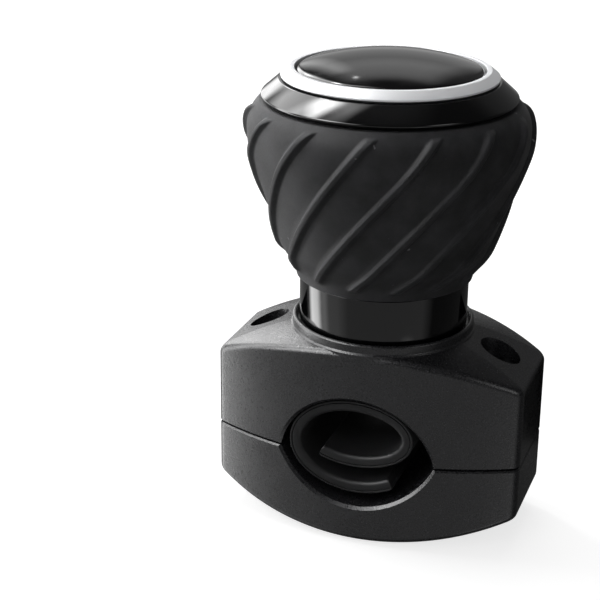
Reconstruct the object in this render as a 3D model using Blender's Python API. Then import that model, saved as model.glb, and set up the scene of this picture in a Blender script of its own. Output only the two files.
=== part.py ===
"""Steering wheel spinner knob: a ribbed hand knob that spins on a two-part clamp for a wheel rim.

The clamp's long side runs along X, the passage for the wheel rim along Y, and the knob's axis is Z.
The origin lies on the knob's axis, in the middle of the flat land that the clamp stands on.
Lengths are in metres.
"""

from math import acos, asin, atan2, cos, hypot, pi, sin, sqrt, tau

import bmesh
import bpy
from mathutils import Matrix, Vector
from mathutils.geometry import interpolate_bezier

# Clearances
SEAT_GAP = 0.0003
SLIP_GAP = 0.0002
BALL_GAP = 0.0002
NECK_GAP = 0.0004

# Clamp, both halves
CLAMP_LENGTH = 0.0600
CLAMP_MIDDLE_WIDTH = 0.0350
CLAMP_END_WIDTH = 0.0200
CLAMP_CORNER_RADIUS = 0.0022
LEAST_CORNER_RADIUS = 0.0004
CROWN_RADIUS = 0.0620
CLAMP_EDGE_RADIUS = 0.0011
LAND_RADIUS = 0.0150
LOWER_HEIGHT = 0.0172
UPPER_HEIGHT = 0.0242

# Passage for the wheel rim, a pointed oval
PASSAGE_WIDTH = 0.0302
PASSAGE_RISE = 0.0122
PASSAGE_DEPTH = 0.0096

# Collar that stands round the knob's neck
COLLAR_WALL = 0.0009
COLLAR_HEIGHT = 0.0236
COLLAR_FLOOR = 0.0224

# Clamp screws and their nuts
# From the clamp's flat end in to the screw's axis
SCREW_INSET = 0.0068
SCREW_SPACING = CLAMP_LENGTH - 2 * SCREW_INSET
SCREW_RADIUS = 0.0020
SCREW_LENGTH = 0.0250
SCREW_HEAD_RADIUS = 0.0035
SCREW_HEAD_HEIGHT = 0.0040
SCREW_EDGE = 0.00035
SCREW_KEY_WIDTH = 0.0030
SCREW_KEY_DEPTH = 0.0022
SCREW_SEAT_HEIGHT = 0.0122
COUNTERBORE_RADIUS = 0.0038
SCREW_HOLE_RADIUS = 0.00225
NUT_WIDTH = 0.0070
NUT_HEIGHT = 0.0032
NUT_CEILING_DEPTH = 0.0092

# Pivot bolt, its washers and its nut
BOLT_RADIUS = 0.0039
BOLT_HEAD_WIDTH = 0.0130
BOLT_HEAD_HEIGHT = 0.0053
BOLT_SEAT_HEIGHT = 0.0172
BOLT_END = 0.0015
BOLT_EDGE = 0.0006
SEAT_WASHER_RADIUS = 0.0060
SEAT_WASHER_HEIGHT = 0.0010
TOP_WASHER_RADIUS = 0.0080
TOP_WASHER_HEIGHT = 0.0016
LOCK_NUT_WIDTH = 0.0130
LOCK_NUT_HEIGHT = 0.0080
SPACER_RADIUS = 0.0057
SPACER_LENGTH = 0.0132

# Ball bearings
BEARING_WIDTH = 0.0070
INNER_RACE_RADIUS = 0.0061
OUTER_RACE_INNER_RADIUS = 0.0089
OUTER_RACE_RADIUS = 0.0110
BALL_RADIUS = 0.001985
BALL_CIRCLE_RADIUS = 0.0075
BALL_COUNT = 7
CAGE_HEIGHT = 0.0056
CAGE_WALL = 0.0014

# Knob core, the moulding that turns on the bearings
NECK_RADIUS = 0.0160
CORE_BORE_RADIUS = 0.0082
CORE_FOOT_EDGE = 0.0004
CORE_TOP_RECESS_DEPTH = 0.0032

# Rubber grip: radii, and heights above the split between the clamp's halves
GRIP_FOOT_RADIUS = 0.0167
GRIP_FOOT_HEIGHT = 0.0322
GRIP_FLARE_RADIUS = 0.0200
GRIP_FLARE_HEIGHT = 0.0390
GRIP_TAPER_HEIGHT = 0.0539
GRIP_BELLY_RADIUS = 0.0260
# How far the taper's upper end and the shoulder stand in from the belly
GRIP_TAPER_INSET = 0.0012
GRIP_TAPER_RADIUS = GRIP_BELLY_RADIUS - GRIP_TAPER_INSET
GRIP_BELLY_HEIGHT = 0.0600
GRIP_SHOULDER_INSET = 0.0022
GRIP_SHOULDER_RADIUS = GRIP_BELLY_RADIUS - GRIP_SHOULDER_INSET
GRIP_SHOULDER_HEIGHT = 0.0654
RUBBER_THICKNESS = 0.0021
# Edge that the core's recess leaves round the top, measured from the grip's shoulder
CORE_TOP_EDGE = 0.0060
CORE_TOP_RECESS_RADIUS = GRIP_SHOULDER_RADIUS - CORE_TOP_EDGE
RIB_COUNT = 14
RIB_HEIGHT = 0.0009
RIB_CREST_WIDTH = 0.0011
RIB_FOOT_WIDTH = 0.0030
# How far the ribs stop short of the grip's foot and of its top
RIB_FOOT_MARGIN = 0.0015
RIB_TOP_MARGIN = 0.0009
RIB_LOW_END = GRIP_FOOT_HEIGHT + RIB_FOOT_MARGIN
RIB_HIGH_END = GRIP_SHOULDER_HEIGHT - RIB_TOP_MARGIN
RIB_END_LENGTH = 0.0014
# A rib climbs at one angle all the way: metres round for each metre up the slope of the grip
RIB_LEAN = 0.76
# Where the first rib ends at the top, in radians from +X
RIB_PHASE = -0.06

# Bezel, trim ring and domed insert that close the top
BEZEL_GROOVE = 0.0004
BEZEL_SETBACK = 0.0002
BEZEL_RADIUS = GRIP_SHOULDER_RADIUS - BEZEL_SETBACK
BEZEL_LIP = 0.0006
BEZEL_HEIGHT = 0.0036
BEZEL_SKIRT_WALL = 0.0016
BEZEL_SKIRT_LENGTH = 0.0026
BEZEL_LEDGE_DEPTH = 0.0017
# Run of the bezel's cone inward, then the ring's slope, skirt step and full width
BEZEL_RUN = 0.0037
RING_SLOPE = 0.0016
RING_STEP = 0.0013
RING_WIDTH = 0.0025
RING_RADIUS = BEZEL_RADIUS - BEZEL_RUN
RING_FLAT_RADIUS = RING_RADIUS - RING_SLOPE
RING_SKIRT_RADIUS = RING_RADIUS - RING_STEP
RING_INNER_RADIUS = RING_RADIUS - RING_WIDTH
RING_LIP = 0.0003
RING_HEIGHT = 0.0016
DOME_RISE = 0.0028
LEDGE_OVERLAP = 0.0011

# Rubber strip rolled up in the passage: an outer turn, then a lower return turn inside it
LINER_LENGTH = 0.0304
LINER_THICKNESS = 0.0023
# How much narrower and lower than the passage the outer turn is, and the return turn than the outer one
LINER_SIDE_ROOM = 0.0045
LINER_TOP_ROOM = 0.0029
RETURN_SIDE_ROOM = 0.0028
RETURN_TOP_ROOM = 0.0054
LINER_WIDTH = PASSAGE_WIDTH - LINER_SIDE_ROOM
LINER_RISE = PASSAGE_RISE + PASSAGE_DEPTH - LINER_TOP_ROOM
RETURN_WIDTH = LINER_WIDTH - RETURN_SIDE_ROOM
RETURN_RISE = LINER_RISE - RETURN_TOP_ROOM
LINER_SHIFT = -0.0005
# Angles on the two ovals at which the strip begins and ends
LINER_OUTER_END = -0.89
LINER_INNER_END = -2.25

# Levels worked out from the sizes above
SPLIT_Z = LOWER_HEIGHT
FLOOR_Z = SPLIT_Z + COLLAR_FLOOR
COLLAR_TOP_Z = SPLIT_Z + COLLAR_HEIGHT
BOLT_SEAT_Z = SPLIT_Z + BOLT_SEAT_HEIGHT
SCREW_SEAT_Z = SPLIT_Z + SCREW_SEAT_HEIGHT
NUT_CEILING_Z = SPLIT_Z - NUT_CEILING_DEPTH
CORE_FOOT_Z = FLOOR_Z + NECK_GAP
SEAT_WASHER_Z = FLOOR_Z + SEAT_GAP
LOWER_BEARING_Z = SEAT_WASHER_Z + SEAT_WASHER_HEIGHT + SEAT_GAP
SPACER_Z = LOWER_BEARING_Z + BEARING_WIDTH + SEAT_GAP
UPPER_BEARING_Z = SPACER_Z + SPACER_LENGTH + SEAT_GAP
TOP_WASHER_Z = UPPER_BEARING_Z + BEARING_WIDTH + SEAT_GAP
LOCK_NUT_Z = TOP_WASHER_Z + TOP_WASHER_HEIGHT + SEAT_GAP
BOLT_TIP_Z = LOCK_NUT_Z + LOCK_NUT_HEIGHT + BOLT_END
GRIP_FOOT_Z = SPLIT_Z + GRIP_FOOT_HEIGHT
GRIP_TOP_Z = SPLIT_Z + GRIP_SHOULDER_HEIGHT
CORE_TOP_Z = GRIP_TOP_Z
BEZEL_Z = GRIP_TOP_Z + BEZEL_GROOVE
BEZEL_TOP_Z = BEZEL_Z + BEZEL_HEIGHT
LEDGE_Z = BEZEL_TOP_Z - BEZEL_LEDGE_DEPTH
RING_Z = BEZEL_TOP_Z + SEAT_GAP
RING_TOP_Z = RING_Z + RING_HEIGHT
BEARING_BORE_RADIUS = OUTER_RACE_RADIUS + SLIP_GAP
BEZEL_BORE_RADIUS = RING_SKIRT_RADIUS + SLIP_GAP
LEDGE_RADIUS = RING_INNER_RADIUS - LEDGE_OVERLAP

# Facets: steps round a turned piece, and points along hidden and rolled outlines
COARSE, MEDIUM, FINE = 20, 28, 42
BORE_STEPS = 36
HIDDEN_STEPS = 5
BOW_STEPS = 15
VESICA_STEPS = 16
OUTER_TURN_STEPS = 20
RETURN_TURN_STEPS = 18

# How full the grip's curves are: shares of a stretch at which its tangents end
FLARE_FULLNESS = 0.42
SHOULDER_FULLNESS = 0.50
SHOULDER_DRAFT = 0.30


def clear_scene():
    """Remove every object of the scene that the script starts in."""
    for item in list(bpy.data.objects):
        bpy.data.objects.remove(item, do_unlink=True)


def material(name, colour, roughness, metallic=0.0):
    """Principled material of one colour, made once for each name."""
    found = bpy.data.materials.get(name)
    if found:
        return found
    made = bpy.data.materials.new(name)
    made.use_nodes = True
    shader = made.node_tree.nodes["Principled BSDF"]
    shader.inputs["Base Color"].default_value = (*colour, 1.0)
    shader.inputs["Roughness"].default_value = roughness
    shader.inputs["Metallic"].default_value = metallic
    made.diffuse_color = (*colour, 1.0)
    return made


def textured_black():
    return material("textured_black_plastic", (0.020, 0.020, 0.021), 0.55)


def gloss_black():
    return material("gloss_black_plastic", (0.010, 0.010, 0.011), 0.12)


def soft_rubber():
    return material("black_rubber", (0.018, 0.018, 0.018), 0.62)


def silver():
    return material("satin_silver", (0.72, 0.72, 0.73), 0.28, 1.0)


def bright_steel():
    return material("bearing_steel", (0.56, 0.57, 0.58), 0.25, 1.0)


def black_steel():
    return material("blackened_steel", (0.035, 0.035, 0.037), 0.40, 1.0)


def zinc_steel():
    return material("zinc_plated_steel", (0.60, 0.61, 0.62), 0.38, 1.0)


def to_object(name, mesh_data, look, sharp_angle=0.55):
    """Turn a bmesh into a named object with its material and smooth round faces."""
    mesh = bpy.data.meshes.new(name)
    mesh_data.normal_update()
    bmesh.ops.recalc_face_normals(mesh_data, faces=mesh_data.faces)
    mesh_data.to_mesh(mesh)
    mesh_data.free()
    mesh.shade_smooth()
    mesh.set_sharp_from_angle(angle=sharp_angle)
    made = bpy.data.objects.new(name, mesh)
    made.data.materials.append(look)
    bpy.context.scene.collection.objects.link(made)
    return made


def turned_mesh(outline, steps):
    """Spin a closed outline of (radius, height) points about Z. Points on the axis become poles."""
    mesh = bmesh.new()
    ring = [mesh.verts.new((radius, 0, height)) for radius, height in outline]
    on_axis = [radius < 1e-9 for radius, _ in outline]
    edges = []
    for start in range(len(ring)):
        end = (start + 1) % len(ring)
        if not (on_axis[start] and on_axis[end]):
            edges.append(mesh.edges.new((ring[start], ring[end])))
    bmesh.ops.spin(
        mesh, geom=ring + edges, cent=(0, 0, 0), axis=(0, 0, 1), angle=tau, steps=steps, use_merge=True
    )
    bmesh.ops.remove_doubles(mesh, verts=mesh.verts, dist=1e-7)
    return mesh


def turned(name, outline, look, steps=MEDIUM):
    return to_object(name, turned_mesh(outline, steps), look)


def lofted_mesh(rings):
    """Join rings of points one after another, and close the first and the last with a face."""
    mesh = bmesh.new()
    rows = [[mesh.verts.new(point) for point in ring] for ring in rings]
    for low, high in zip(rows, rows[1:]):
        for start in range(len(low)):
            end = (start + 1) % len(low)
            mesh.faces.new((low[start], low[end], high[end], high[start]))
    mesh.faces.new(reversed(rows[0]))
    mesh.faces.new(rows[-1])
    return mesh


def prism_mesh(outline, low, high):
    """Upright prism over a closed outline of (x, y) points."""
    return lofted_mesh([[(x, y, z) for x, y in outline] for z in (low, high)])


def circle(radius, count, centre=(0.0, 0.0)):
    return [
        (centre[0] + radius * cos(tau * step / count), centre[1] + radius * sin(tau * step / count))
        for step in range(count)
    ]


def hexagon(width, centre=(0.0, 0.0)):
    """Hexagon of a width across its flats, with two flats facing Y."""
    return circle(width / sqrt(3), 6, centre)


def arc(centre, radius, start, end, count):
    """Points along an arc, both ends included, as (across, up) pairs."""
    return [
        (
            centre[0] + radius * cos(start + (end - start) * step / count),
            centre[1] + radius * sin(start + (end - start) * step / count),
        )
        for step in range(count + 1)
    ]


def hide_cutter(cutter):
    cutter.hide_render = True
    cutter.display_type = "WIRE"
    cutter.hide_set(True)


def combine(body, other, operation):
    """Add a Boolean that cuts another solid away from the body, or joins it on."""
    modifier = body.modifiers.new(other.name, "BOOLEAN")
    modifier.operation = operation
    modifier.object = other
    hide_cutter(other)


def cut_prism(body, name, outline, low, high):
    combine(body, to_object(name, prism_mesh(outline, low, high), textured_black()), "DIFFERENCE")


def cut_turned(body, name, outline, steps=MEDIUM):
    combine(body, to_object(name, turned_mesh(outline, steps), textured_black()), "DIFFERENCE")


def bow_arc():
    """Radius of the clamp's bowed front, and how far behind the axis its centre lies."""
    half = CLAMP_LENGTH / 2
    sagitta = (CLAMP_MIDDLE_WIDTH - CLAMP_END_WIDTH) / 2
    radius = (half * half + sagitta * sagitta) / (2 * sagitta)
    return radius, radius - CLAMP_MIDDLE_WIDTH / 2


def clamp_outline(inset=0.0):
    """The clamp seen from above: bowed front and back, flat ends, rounded corners."""
    radius, back = bow_arc()
    radius -= inset
    half = CLAMP_LENGTH / 2 - inset
    corner = max(CLAMP_CORNER_RADIUS - inset, LEAST_CORNER_RADIUS)
    # Centre of the corner arc, which touches the flat end and the bowed side from inside
    centre_x = half - corner
    centre_y = sqrt((radius - corner) ** 2 - centre_x**2) - back
    touch = atan2(centre_y + back, centre_x)
    bow = arc((0, -back), radius, touch, pi - touch, BOW_STEPS)
    right = arc((centre_x, centre_y), corner, 0, touch, 3)
    left = arc((-centre_x, centre_y), corner, pi - touch, pi, 3)
    upper = right[:-1] + bow + left[1:]
    lower = [(-x, -y) for x, y in upper]
    return upper + lower


def crown_drop(x, y):
    """How far the crowned face has fallen at a distance from the knob's axis."""
    return CROWN_RADIUS - sqrt(CROWN_RADIUS**2 - x * x - y * y)


def clamp_half_mesh(split, face, direction):
    """Loft from the split plane up the side, round the edge and over the crowned face to its middle."""
    rings = [[(x, y, split) for x, y in clamp_outline()]]
    for step in range(4):
        turn = step * pi / 6
        inset = CLAMP_EDGE_RADIUS * (1 - cos(turn))
        sunk = CLAMP_EDGE_RADIUS * (1 - sin(turn))
        outline = clamp_outline(inset)
        rings.append([(x, y, face(x, y) - direction * sunk) for x, y in outline])
    last = clamp_outline(CLAMP_EDGE_RADIUS)
    for share in (0.80, 0.60, 0.40, 0.15):
        rings.append([(x * share, y * share, face(x * share, y * share)) for x, y in last])
    return lofted_mesh(rings)


def vesica_radius(rise):
    """Radius of the arc that spans the passage and rises this far above its ends."""
    half = PASSAGE_WIDTH / 2
    return (half * half + rise * rise) / (2 * rise)


def vesica():
    """Pointed oval of the passage as (across, up) points about the split: one arc above, one below."""
    half = PASSAGE_WIDTH / 2
    points = []
    for rise, sign in ((PASSAGE_RISE, 1), (PASSAGE_DEPTH, -1)):
        radius = vesica_radius(rise)
        spread = asin(min(1.0, half / radius)) if rise < half else pi - asin(half / radius)
        points += [
            (sign * radius * sin(angle), sign * (radius * cos(angle) - radius + rise))
            for angle in (spread - 2 * spread * step / VESICA_STEPS for step in range(VESICA_STEPS))
        ]
    return points


def cut_passage(half):
    """Cut the pointed oval through a half of the clamp, from front to back."""
    mesh = bmesh.new()
    reach = CLAMP_MIDDLE_WIDTH
    front = [mesh.verts.new((x, -reach, SPLIT_Z + z)) for x, z in vesica()]
    face = mesh.faces.new(front)
    bulk = bmesh.ops.extrude_face_region(mesh, geom=[face])
    moved = [item for item in bulk["geom"] if isinstance(item, bmesh.types.BMVert)]
    bmesh.ops.translate(mesh, verts=moved, vec=(0, 2 * reach, 0))
    combine(half, to_object(half.name + "_passage", mesh, textured_black()), "DIFFERENCE")


def screw_places():
    return (("left", -SCREW_SPACING / 2), ("right", SCREW_SPACING / 2))


def clamp_upper():
    """Upper half: crowned top with the collar, recess and bolt hole, and a counterbore near each end."""
    top = SPLIT_Z + UPPER_HEIGHT
    half = to_object(
        "clamp_upper",
        clamp_half_mesh(SPLIT_Z + SEAT_GAP / 2, lambda x, y: top - crown_drop(x, y), 1),
        textured_black(),
    )
    inner = NECK_RADIUS + NECK_GAP
    outer = inner + COLLAR_WALL
    bead = COLLAR_WALL / 2
    root = (BOLT_SEAT_Z + FLOOR_Z) / 2
    boss = [(0, root), (outer, root)]
    boss += arc((outer - bead, COLLAR_TOP_Z - bead), bead, 0, pi / 2, 3)
    boss += [(0, COLLAR_TOP_Z)]
    combine(half, turned("clamp_collar", boss, textured_black(), FINE), "UNION")
    hole = BOLT_RADIUS + SLIP_GAP
    recess = [(0, SPLIT_Z), (hole, SPLIT_Z), (hole, FLOOR_Z)]
    recess += [(inner, FLOOR_Z), (inner, COLLAR_TOP_Z - bead)]
    recess += [(inner + 2 * bead, COLLAR_TOP_Z + bead), (inner + 2 * bead, top * 2), (0, top * 2)]
    cut_turned(half, "bolt_hole_and_recess", recess, FINE)
    cut_passage(half)
    cut_prism(
        half, "bolt_head_pocket", hexagon(BOLT_HEAD_WIDTH + 2 * SLIP_GAP), SPLIT_Z, BOLT_SEAT_Z
    )
    for side, x in screw_places():
        cut_prism(half, "shank_hole_" + side, circle(SCREW_HOLE_RADIUS, COARSE, (x, 0)), 0, top)
        cut_prism(
            half,
            "counterbore_" + side,
            circle(COUNTERBORE_RADIUS, COARSE, (x, 0)),
            SCREW_SEAT_Z,
            top * 2,
        )
    return half


def clamp_lower():
    """Lower half: crowned underside cut flat at the land, with a nut pocket near each end."""
    land_drop = CROWN_RADIUS - sqrt(CROWN_RADIUS**2 - LAND_RADIUS**2)

    def underside(x, y):
        return max(crown_drop(x, y) - land_drop, 0.0)

    half = to_object(
        "clamp_lower", clamp_half_mesh(SPLIT_Z - SEAT_GAP / 2, underside, -1), textured_black()
    )
    cut_passage(half)
    for side, x in screw_places():
        cut_prism(
            half, "lower_shank_hole_" + side, circle(SCREW_HOLE_RADIUS, COARSE, (x, 0)), 0, SPLIT_Z * 2
        )
        pocket = hexagon(NUT_WIDTH + 2 * SLIP_GAP, (x, 0))
        cut_prism(half, "nut_pocket_" + side, pocket, -LOWER_HEIGHT, NUT_CEILING_Z)
    return half


def nut(name, width, low, high, bore, look, centre=(0.0, 0.0)):
    """Hexagon nut with a plain round bore."""
    body = to_object(name, prism_mesh(hexagon(width, centre), low, high), look)
    cut_prism(body, name + "_bore", circle(bore, COARSE, centre), low - width, high + width)
    return body


def clamp_screw(side, x):
    """Socket head cap screw whose shank reaches down into the nut."""
    seat = SCREW_SEAT_Z + SEAT_GAP
    top = seat + SCREW_HEAD_HEIGHT
    edge = SCREW_EDGE
    mesh = turned_mesh(
        [
            (0, seat - SCREW_LENGTH),
            (SCREW_RADIUS - edge, seat - SCREW_LENGTH),
            (SCREW_RADIUS, seat - SCREW_LENGTH + edge),
            (SCREW_RADIUS, seat),
            (SCREW_HEAD_RADIUS, seat),
            (SCREW_HEAD_RADIUS, top - edge),
            (SCREW_HEAD_RADIUS - edge, top),
            (0, top),
        ],
        COARSE,
    )
    bmesh.ops.translate(mesh, verts=mesh.verts, vec=(x, 0, 0))
    screw = to_object("clamp_screw_" + side, mesh, black_steel())
    socket = hexagon(SCREW_KEY_WIDTH, (x, 0))
    cut_prism(screw, "key_socket_" + side, socket, top - SCREW_KEY_DEPTH, top + SCREW_KEY_DEPTH)


def clamp_screws():
    for side, x in screw_places():
        clamp_screw(side, x)
        top = NUT_CEILING_Z - SEAT_GAP
        bore = SCREW_RADIUS + SLIP_GAP
        nut("clamp_nut_" + side, NUT_WIDTH, top - NUT_HEIGHT, top, bore, zinc_steel(), (x, 0))


def pivot_bolt():
    """Hexagon bolt held in the roof of the passage, with its shank up through the knob."""
    seat = BOLT_SEAT_Z - SEAT_GAP
    head = to_object(
        "pivot_bolt", prism_mesh(hexagon(BOLT_HEAD_WIDTH), seat - BOLT_HEAD_HEIGHT, seat), zinc_steel()
    )
    low = seat - BOLT_HEAD_HEIGHT / 2
    outline = [
        (0, low),
        (BOLT_RADIUS, low),
        (BOLT_RADIUS, BOLT_TIP_Z - BOLT_EDGE),
        (BOLT_RADIUS - BOLT_EDGE, BOLT_TIP_Z),
        (0, BOLT_TIP_Z),
    ]
    combine(head, turned("bolt_shank", outline, zinc_steel()), "UNION")


def tube(name, inner, outer, low, high, look, steps=MEDIUM):
    return turned(name, [(inner, low), (outer, low), (outer, high), (inner, high)], look, steps)


def bolt_stack():
    """Washers, sleeve and lock nut that the bolt clamps together with the inner races."""
    bore = BOLT_RADIUS + SLIP_GAP
    high = SEAT_WASHER_Z + SEAT_WASHER_HEIGHT
    tube("seat_washer", bore, SEAT_WASHER_RADIUS, SEAT_WASHER_Z, high, zinc_steel())
    high = SPACER_Z + SPACER_LENGTH
    tube("spacer_sleeve", bore, SPACER_RADIUS, SPACER_Z, high, zinc_steel())
    high = TOP_WASHER_Z + TOP_WASHER_HEIGHT
    tube("top_washer", bore, TOP_WASHER_RADIUS, TOP_WASHER_Z, high, zinc_steel())
    high = LOCK_NUT_Z + LOCK_NUT_HEIGHT
    nut("lock_nut", LOCK_NUT_WIDTH, LOCK_NUT_Z, high, bore, zinc_steel())


def race_outline(flat, plain, low):
    """Section of a race: a plain wall, and a flat wall with the groove that the balls run in."""
    middle = low + BEARING_WIDTH / 2
    groove = BALL_RADIUS + BALL_GAP
    away = flat - BALL_CIRCLE_RADIUS
    reach = acos(min(1.0, abs(away) / groove))
    facing = 0 if away > 0 else pi
    turn = -reach if away > 0 else reach
    edge = arc((BALL_CIRCLE_RADIUS, middle), groove, facing + turn, facing - turn, 4)
    return [(plain, low), (flat, low)] + edge + [(flat, low + BEARING_WIDTH), (plain, low + BEARING_WIDTH)]


def bearing(level, low):
    """Deep groove ball bearing: two races, a cage and the balls in its pockets."""
    bore = BOLT_RADIUS + SLIP_GAP
    steel = bright_steel()
    turned(level + "_inner_race", race_outline(INNER_RACE_RADIUS, bore, low), steel)
    turned(level + "_outer_race", race_outline(OUTER_RACE_INNER_RADIUS, OUTER_RACE_RADIUS, low), steel)
    middle = low + BEARING_WIDTH / 2
    cage_look = material("bearing_cage_nylon", (0.10, 0.10, 0.11), 0.5)
    cage = tube(
        level + "_cage",
        BALL_CIRCLE_RADIUS - CAGE_WALL / 2,
        BALL_CIRCLE_RADIUS + CAGE_WALL / 2,
        middle - CAGE_HEIGHT / 2,
        middle + CAGE_HEIGHT / 2,
        cage_look,
        BALL_COUNT * 5,
    )
    for index in range(BALL_COUNT):
        angle = tau * index / BALL_COUNT
        place = Vector((BALL_CIRCLE_RADIUS * cos(angle), BALL_CIRCLE_RADIUS * sin(angle), middle))
        pocket = bmesh.new()
        bmesh.ops.create_cone(
            pocket,
            cap_ends=True,
            segments=12,
            radius1=BALL_RADIUS + BALL_GAP,
            radius2=BALL_RADIUS + BALL_GAP,
            depth=CAGE_WALL * 4,
        )
        outward = Matrix.Rotation(angle, 4, "Z") @ Matrix.Rotation(pi / 2, 4, "Y")
        pocket.transform(Matrix.Translation(place) @ outward)
        combine(cage, to_object(f"{level}_pocket_{index + 1}", pocket, cage_look), "DIFFERENCE")
        ball = bmesh.new()
        bmesh.ops.create_icosphere(ball, subdivisions=2, radius=BALL_RADIUS)
        bmesh.ops.translate(ball, verts=ball.verts, vec=place)
        to_object(f"{level}_ball_{index + 1}", ball, steel)


def grip_outline():
    """Outer section of the grip from its foot to its shoulder, as (radius, height) pairs."""
    foot = Vector((GRIP_FOOT_RADIUS, GRIP_FOOT_HEIGHT))
    flare = Vector((GRIP_FLARE_RADIUS, GRIP_FLARE_HEIGHT))
    taper = Vector((GRIP_TAPER_RADIUS, GRIP_TAPER_HEIGHT))
    belly = Vector((GRIP_BELLY_RADIUS, GRIP_BELLY_HEIGHT))
    shoulder = Vector((GRIP_SHOULDER_RADIUS, GRIP_SHOULDER_HEIGHT))
    slope = (taper - flare).normalized()
    up = Vector((0, 1))
    inward = Vector((-1, 1)).normalized()
    low = (flare - foot).length * FLARE_FULLNESS
    high = (belly - taper).length * FLARE_FULLNESS
    crest = (shoulder - belly).length * SHOULDER_FULLNESS
    draft = (shoulder - belly).length * SHOULDER_DRAFT
    flared = interpolate_bezier(foot, foot + up * low, flare - slope * low, flare, 5)
    bellied = interpolate_bezier(taper, taper + slope * high, belly - up * high, belly, 4)
    shouldered = interpolate_bezier(
        belly, belly + up * crest, shoulder - inward * draft, shoulder, 5
    )
    straight = [flare.lerp(taper, share) for share in (0.33, 0.67)]
    points = flared + straight + bellied + shouldered[1:]
    return [(point.x, SPLIT_Z + point.y) for point in points]


def hidden_outline(offset):
    """The grip's section moved towards the axis, thinned to the points that a hidden wall needs."""
    outline = grip_outline()
    step = (len(outline) - 1) / HIDDEN_STEPS
    chosen = [outline[round(index * step)] for index in range(HIDDEN_STEPS + 1)]
    return [(radius - offset, height) for radius, height in chosen]


def rib_turns(outline):
    """How far the ribs have turned at each point of the section, counted from their upper ends."""
    turns = [0.0]
    for (r0, z0), (r1, z1) in zip(outline, outline[1:]):
        turns.append(turns[-1] + RIB_LEAN * hypot(r1 - r0, z1 - z0) * 2 / (r0 + r1))
    top = next(turn for turn, point in zip(turns, outline) if point[1] >= SPLIT_Z + RIB_HIGH_END - SLIP_GAP)
    return [turn - top + RIB_PHASE for turn in turns]


def rib_ring(radius, height, turn):
    """One ring of the grip's outer wall, whose points follow the ribs round as they climb."""
    low, high = SPLIT_Z + RIB_LOW_END, SPLIT_Z + RIB_HIGH_END
    inside = min(height - low, high - height) / RIB_END_LENGTH
    lift = RIB_HEIGHT * sqrt(max(0.0, 1 - (1 - min(max(inside, 0.0), 1.0)) ** 2))
    pitch = tau / RIB_COUNT
    crest = RIB_CREST_WIDTH / radius
    foot = RIB_FOOT_WIDTH / radius
    columns = [(-foot / 2, 0), (-crest / 2, lift), (crest / 2, lift), (foot / 2, 0), (pitch / 2, 0)]
    points = []
    for rib in range(RIB_COUNT):
        for offset, raised in columns:
            angle = rib * pitch + offset + turn
            out = radius + raised
            points.append((out * cos(angle), out * sin(angle), height))
    return points


def rubber_grip():
    """Vase-shaped rubber sleeve with raised spiral ribs, open at both ends."""
    outline = grip_outline()
    ends = [SPLIT_Z + RIB_LOW_END + RIB_END_LENGTH * share for share in (0, 0.3, 1)]
    ends += [SPLIT_Z + RIB_HIGH_END - RIB_END_LENGTH * share for share in (1, 0.3, 0)]
    for height in ends:
        below = max(index for index, point in enumerate(outline) if point[1] < height)
        (r0, z0), (r1, z1) = outline[below], outline[below + 1]
        if z1 - height > SLIP_GAP and height - z0 > SLIP_GAP:
            outline.insert(below + 1, (r0 + (r1 - r0) * (height - z0) / (z1 - z0), height))
    turns = rib_turns(outline)
    rings = [rib_ring(radius, height, turn) for (radius, height), turn in zip(outline, turns)]
    grip = to_object("rubber_grip", lofted_mesh(rings), soft_rubber(), 0.9)
    inner = hidden_outline(RUBBER_THICKNESS)
    low, high = inner[0], inner[-1]
    past = RUBBER_THICKNESS
    bore = [(0, low[1] - past), (low[0], low[1] - past), *inner]
    bore += [(high[0], high[1] + past), (0, high[1] + past)]
    cut_turned(grip, "grip_bore", bore, BORE_STEPS)


def knob_core():
    """Turned moulding: the visible neck, the hub under the rubber, two bearing seats and the top recess."""
    covered = hidden_outline(RUBBER_THICKNESS + SLIP_GAP)
    low_seat = LOWER_BEARING_Z + BEARING_WIDTH + SEAT_GAP
    high_seat = UPPER_BEARING_Z - SEAT_GAP
    recess = CORE_TOP_Z - CORE_TOP_RECESS_DEPTH
    outline = [
        (BEARING_BORE_RADIUS, CORE_FOOT_Z),
        (NECK_RADIUS - CORE_FOOT_EDGE, CORE_FOOT_Z),
        (NECK_RADIUS, CORE_FOOT_Z + CORE_FOOT_EDGE),
        (NECK_RADIUS, GRIP_FOOT_Z - SEAT_GAP),
        (covered[0][0], GRIP_FOOT_Z - SEAT_GAP),
        *covered[1:],
        (CORE_TOP_RECESS_RADIUS, CORE_TOP_Z),
        (CORE_TOP_RECESS_RADIUS, recess),
        (BEARING_BORE_RADIUS, recess),
        (BEARING_BORE_RADIUS, high_seat),
        (CORE_BORE_RADIUS, high_seat),
        (CORE_BORE_RADIUS, low_seat),
        (BEARING_BORE_RADIUS, low_seat),
    ]
    turned("knob_core", outline, gloss_black(), BORE_STEPS)


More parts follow.
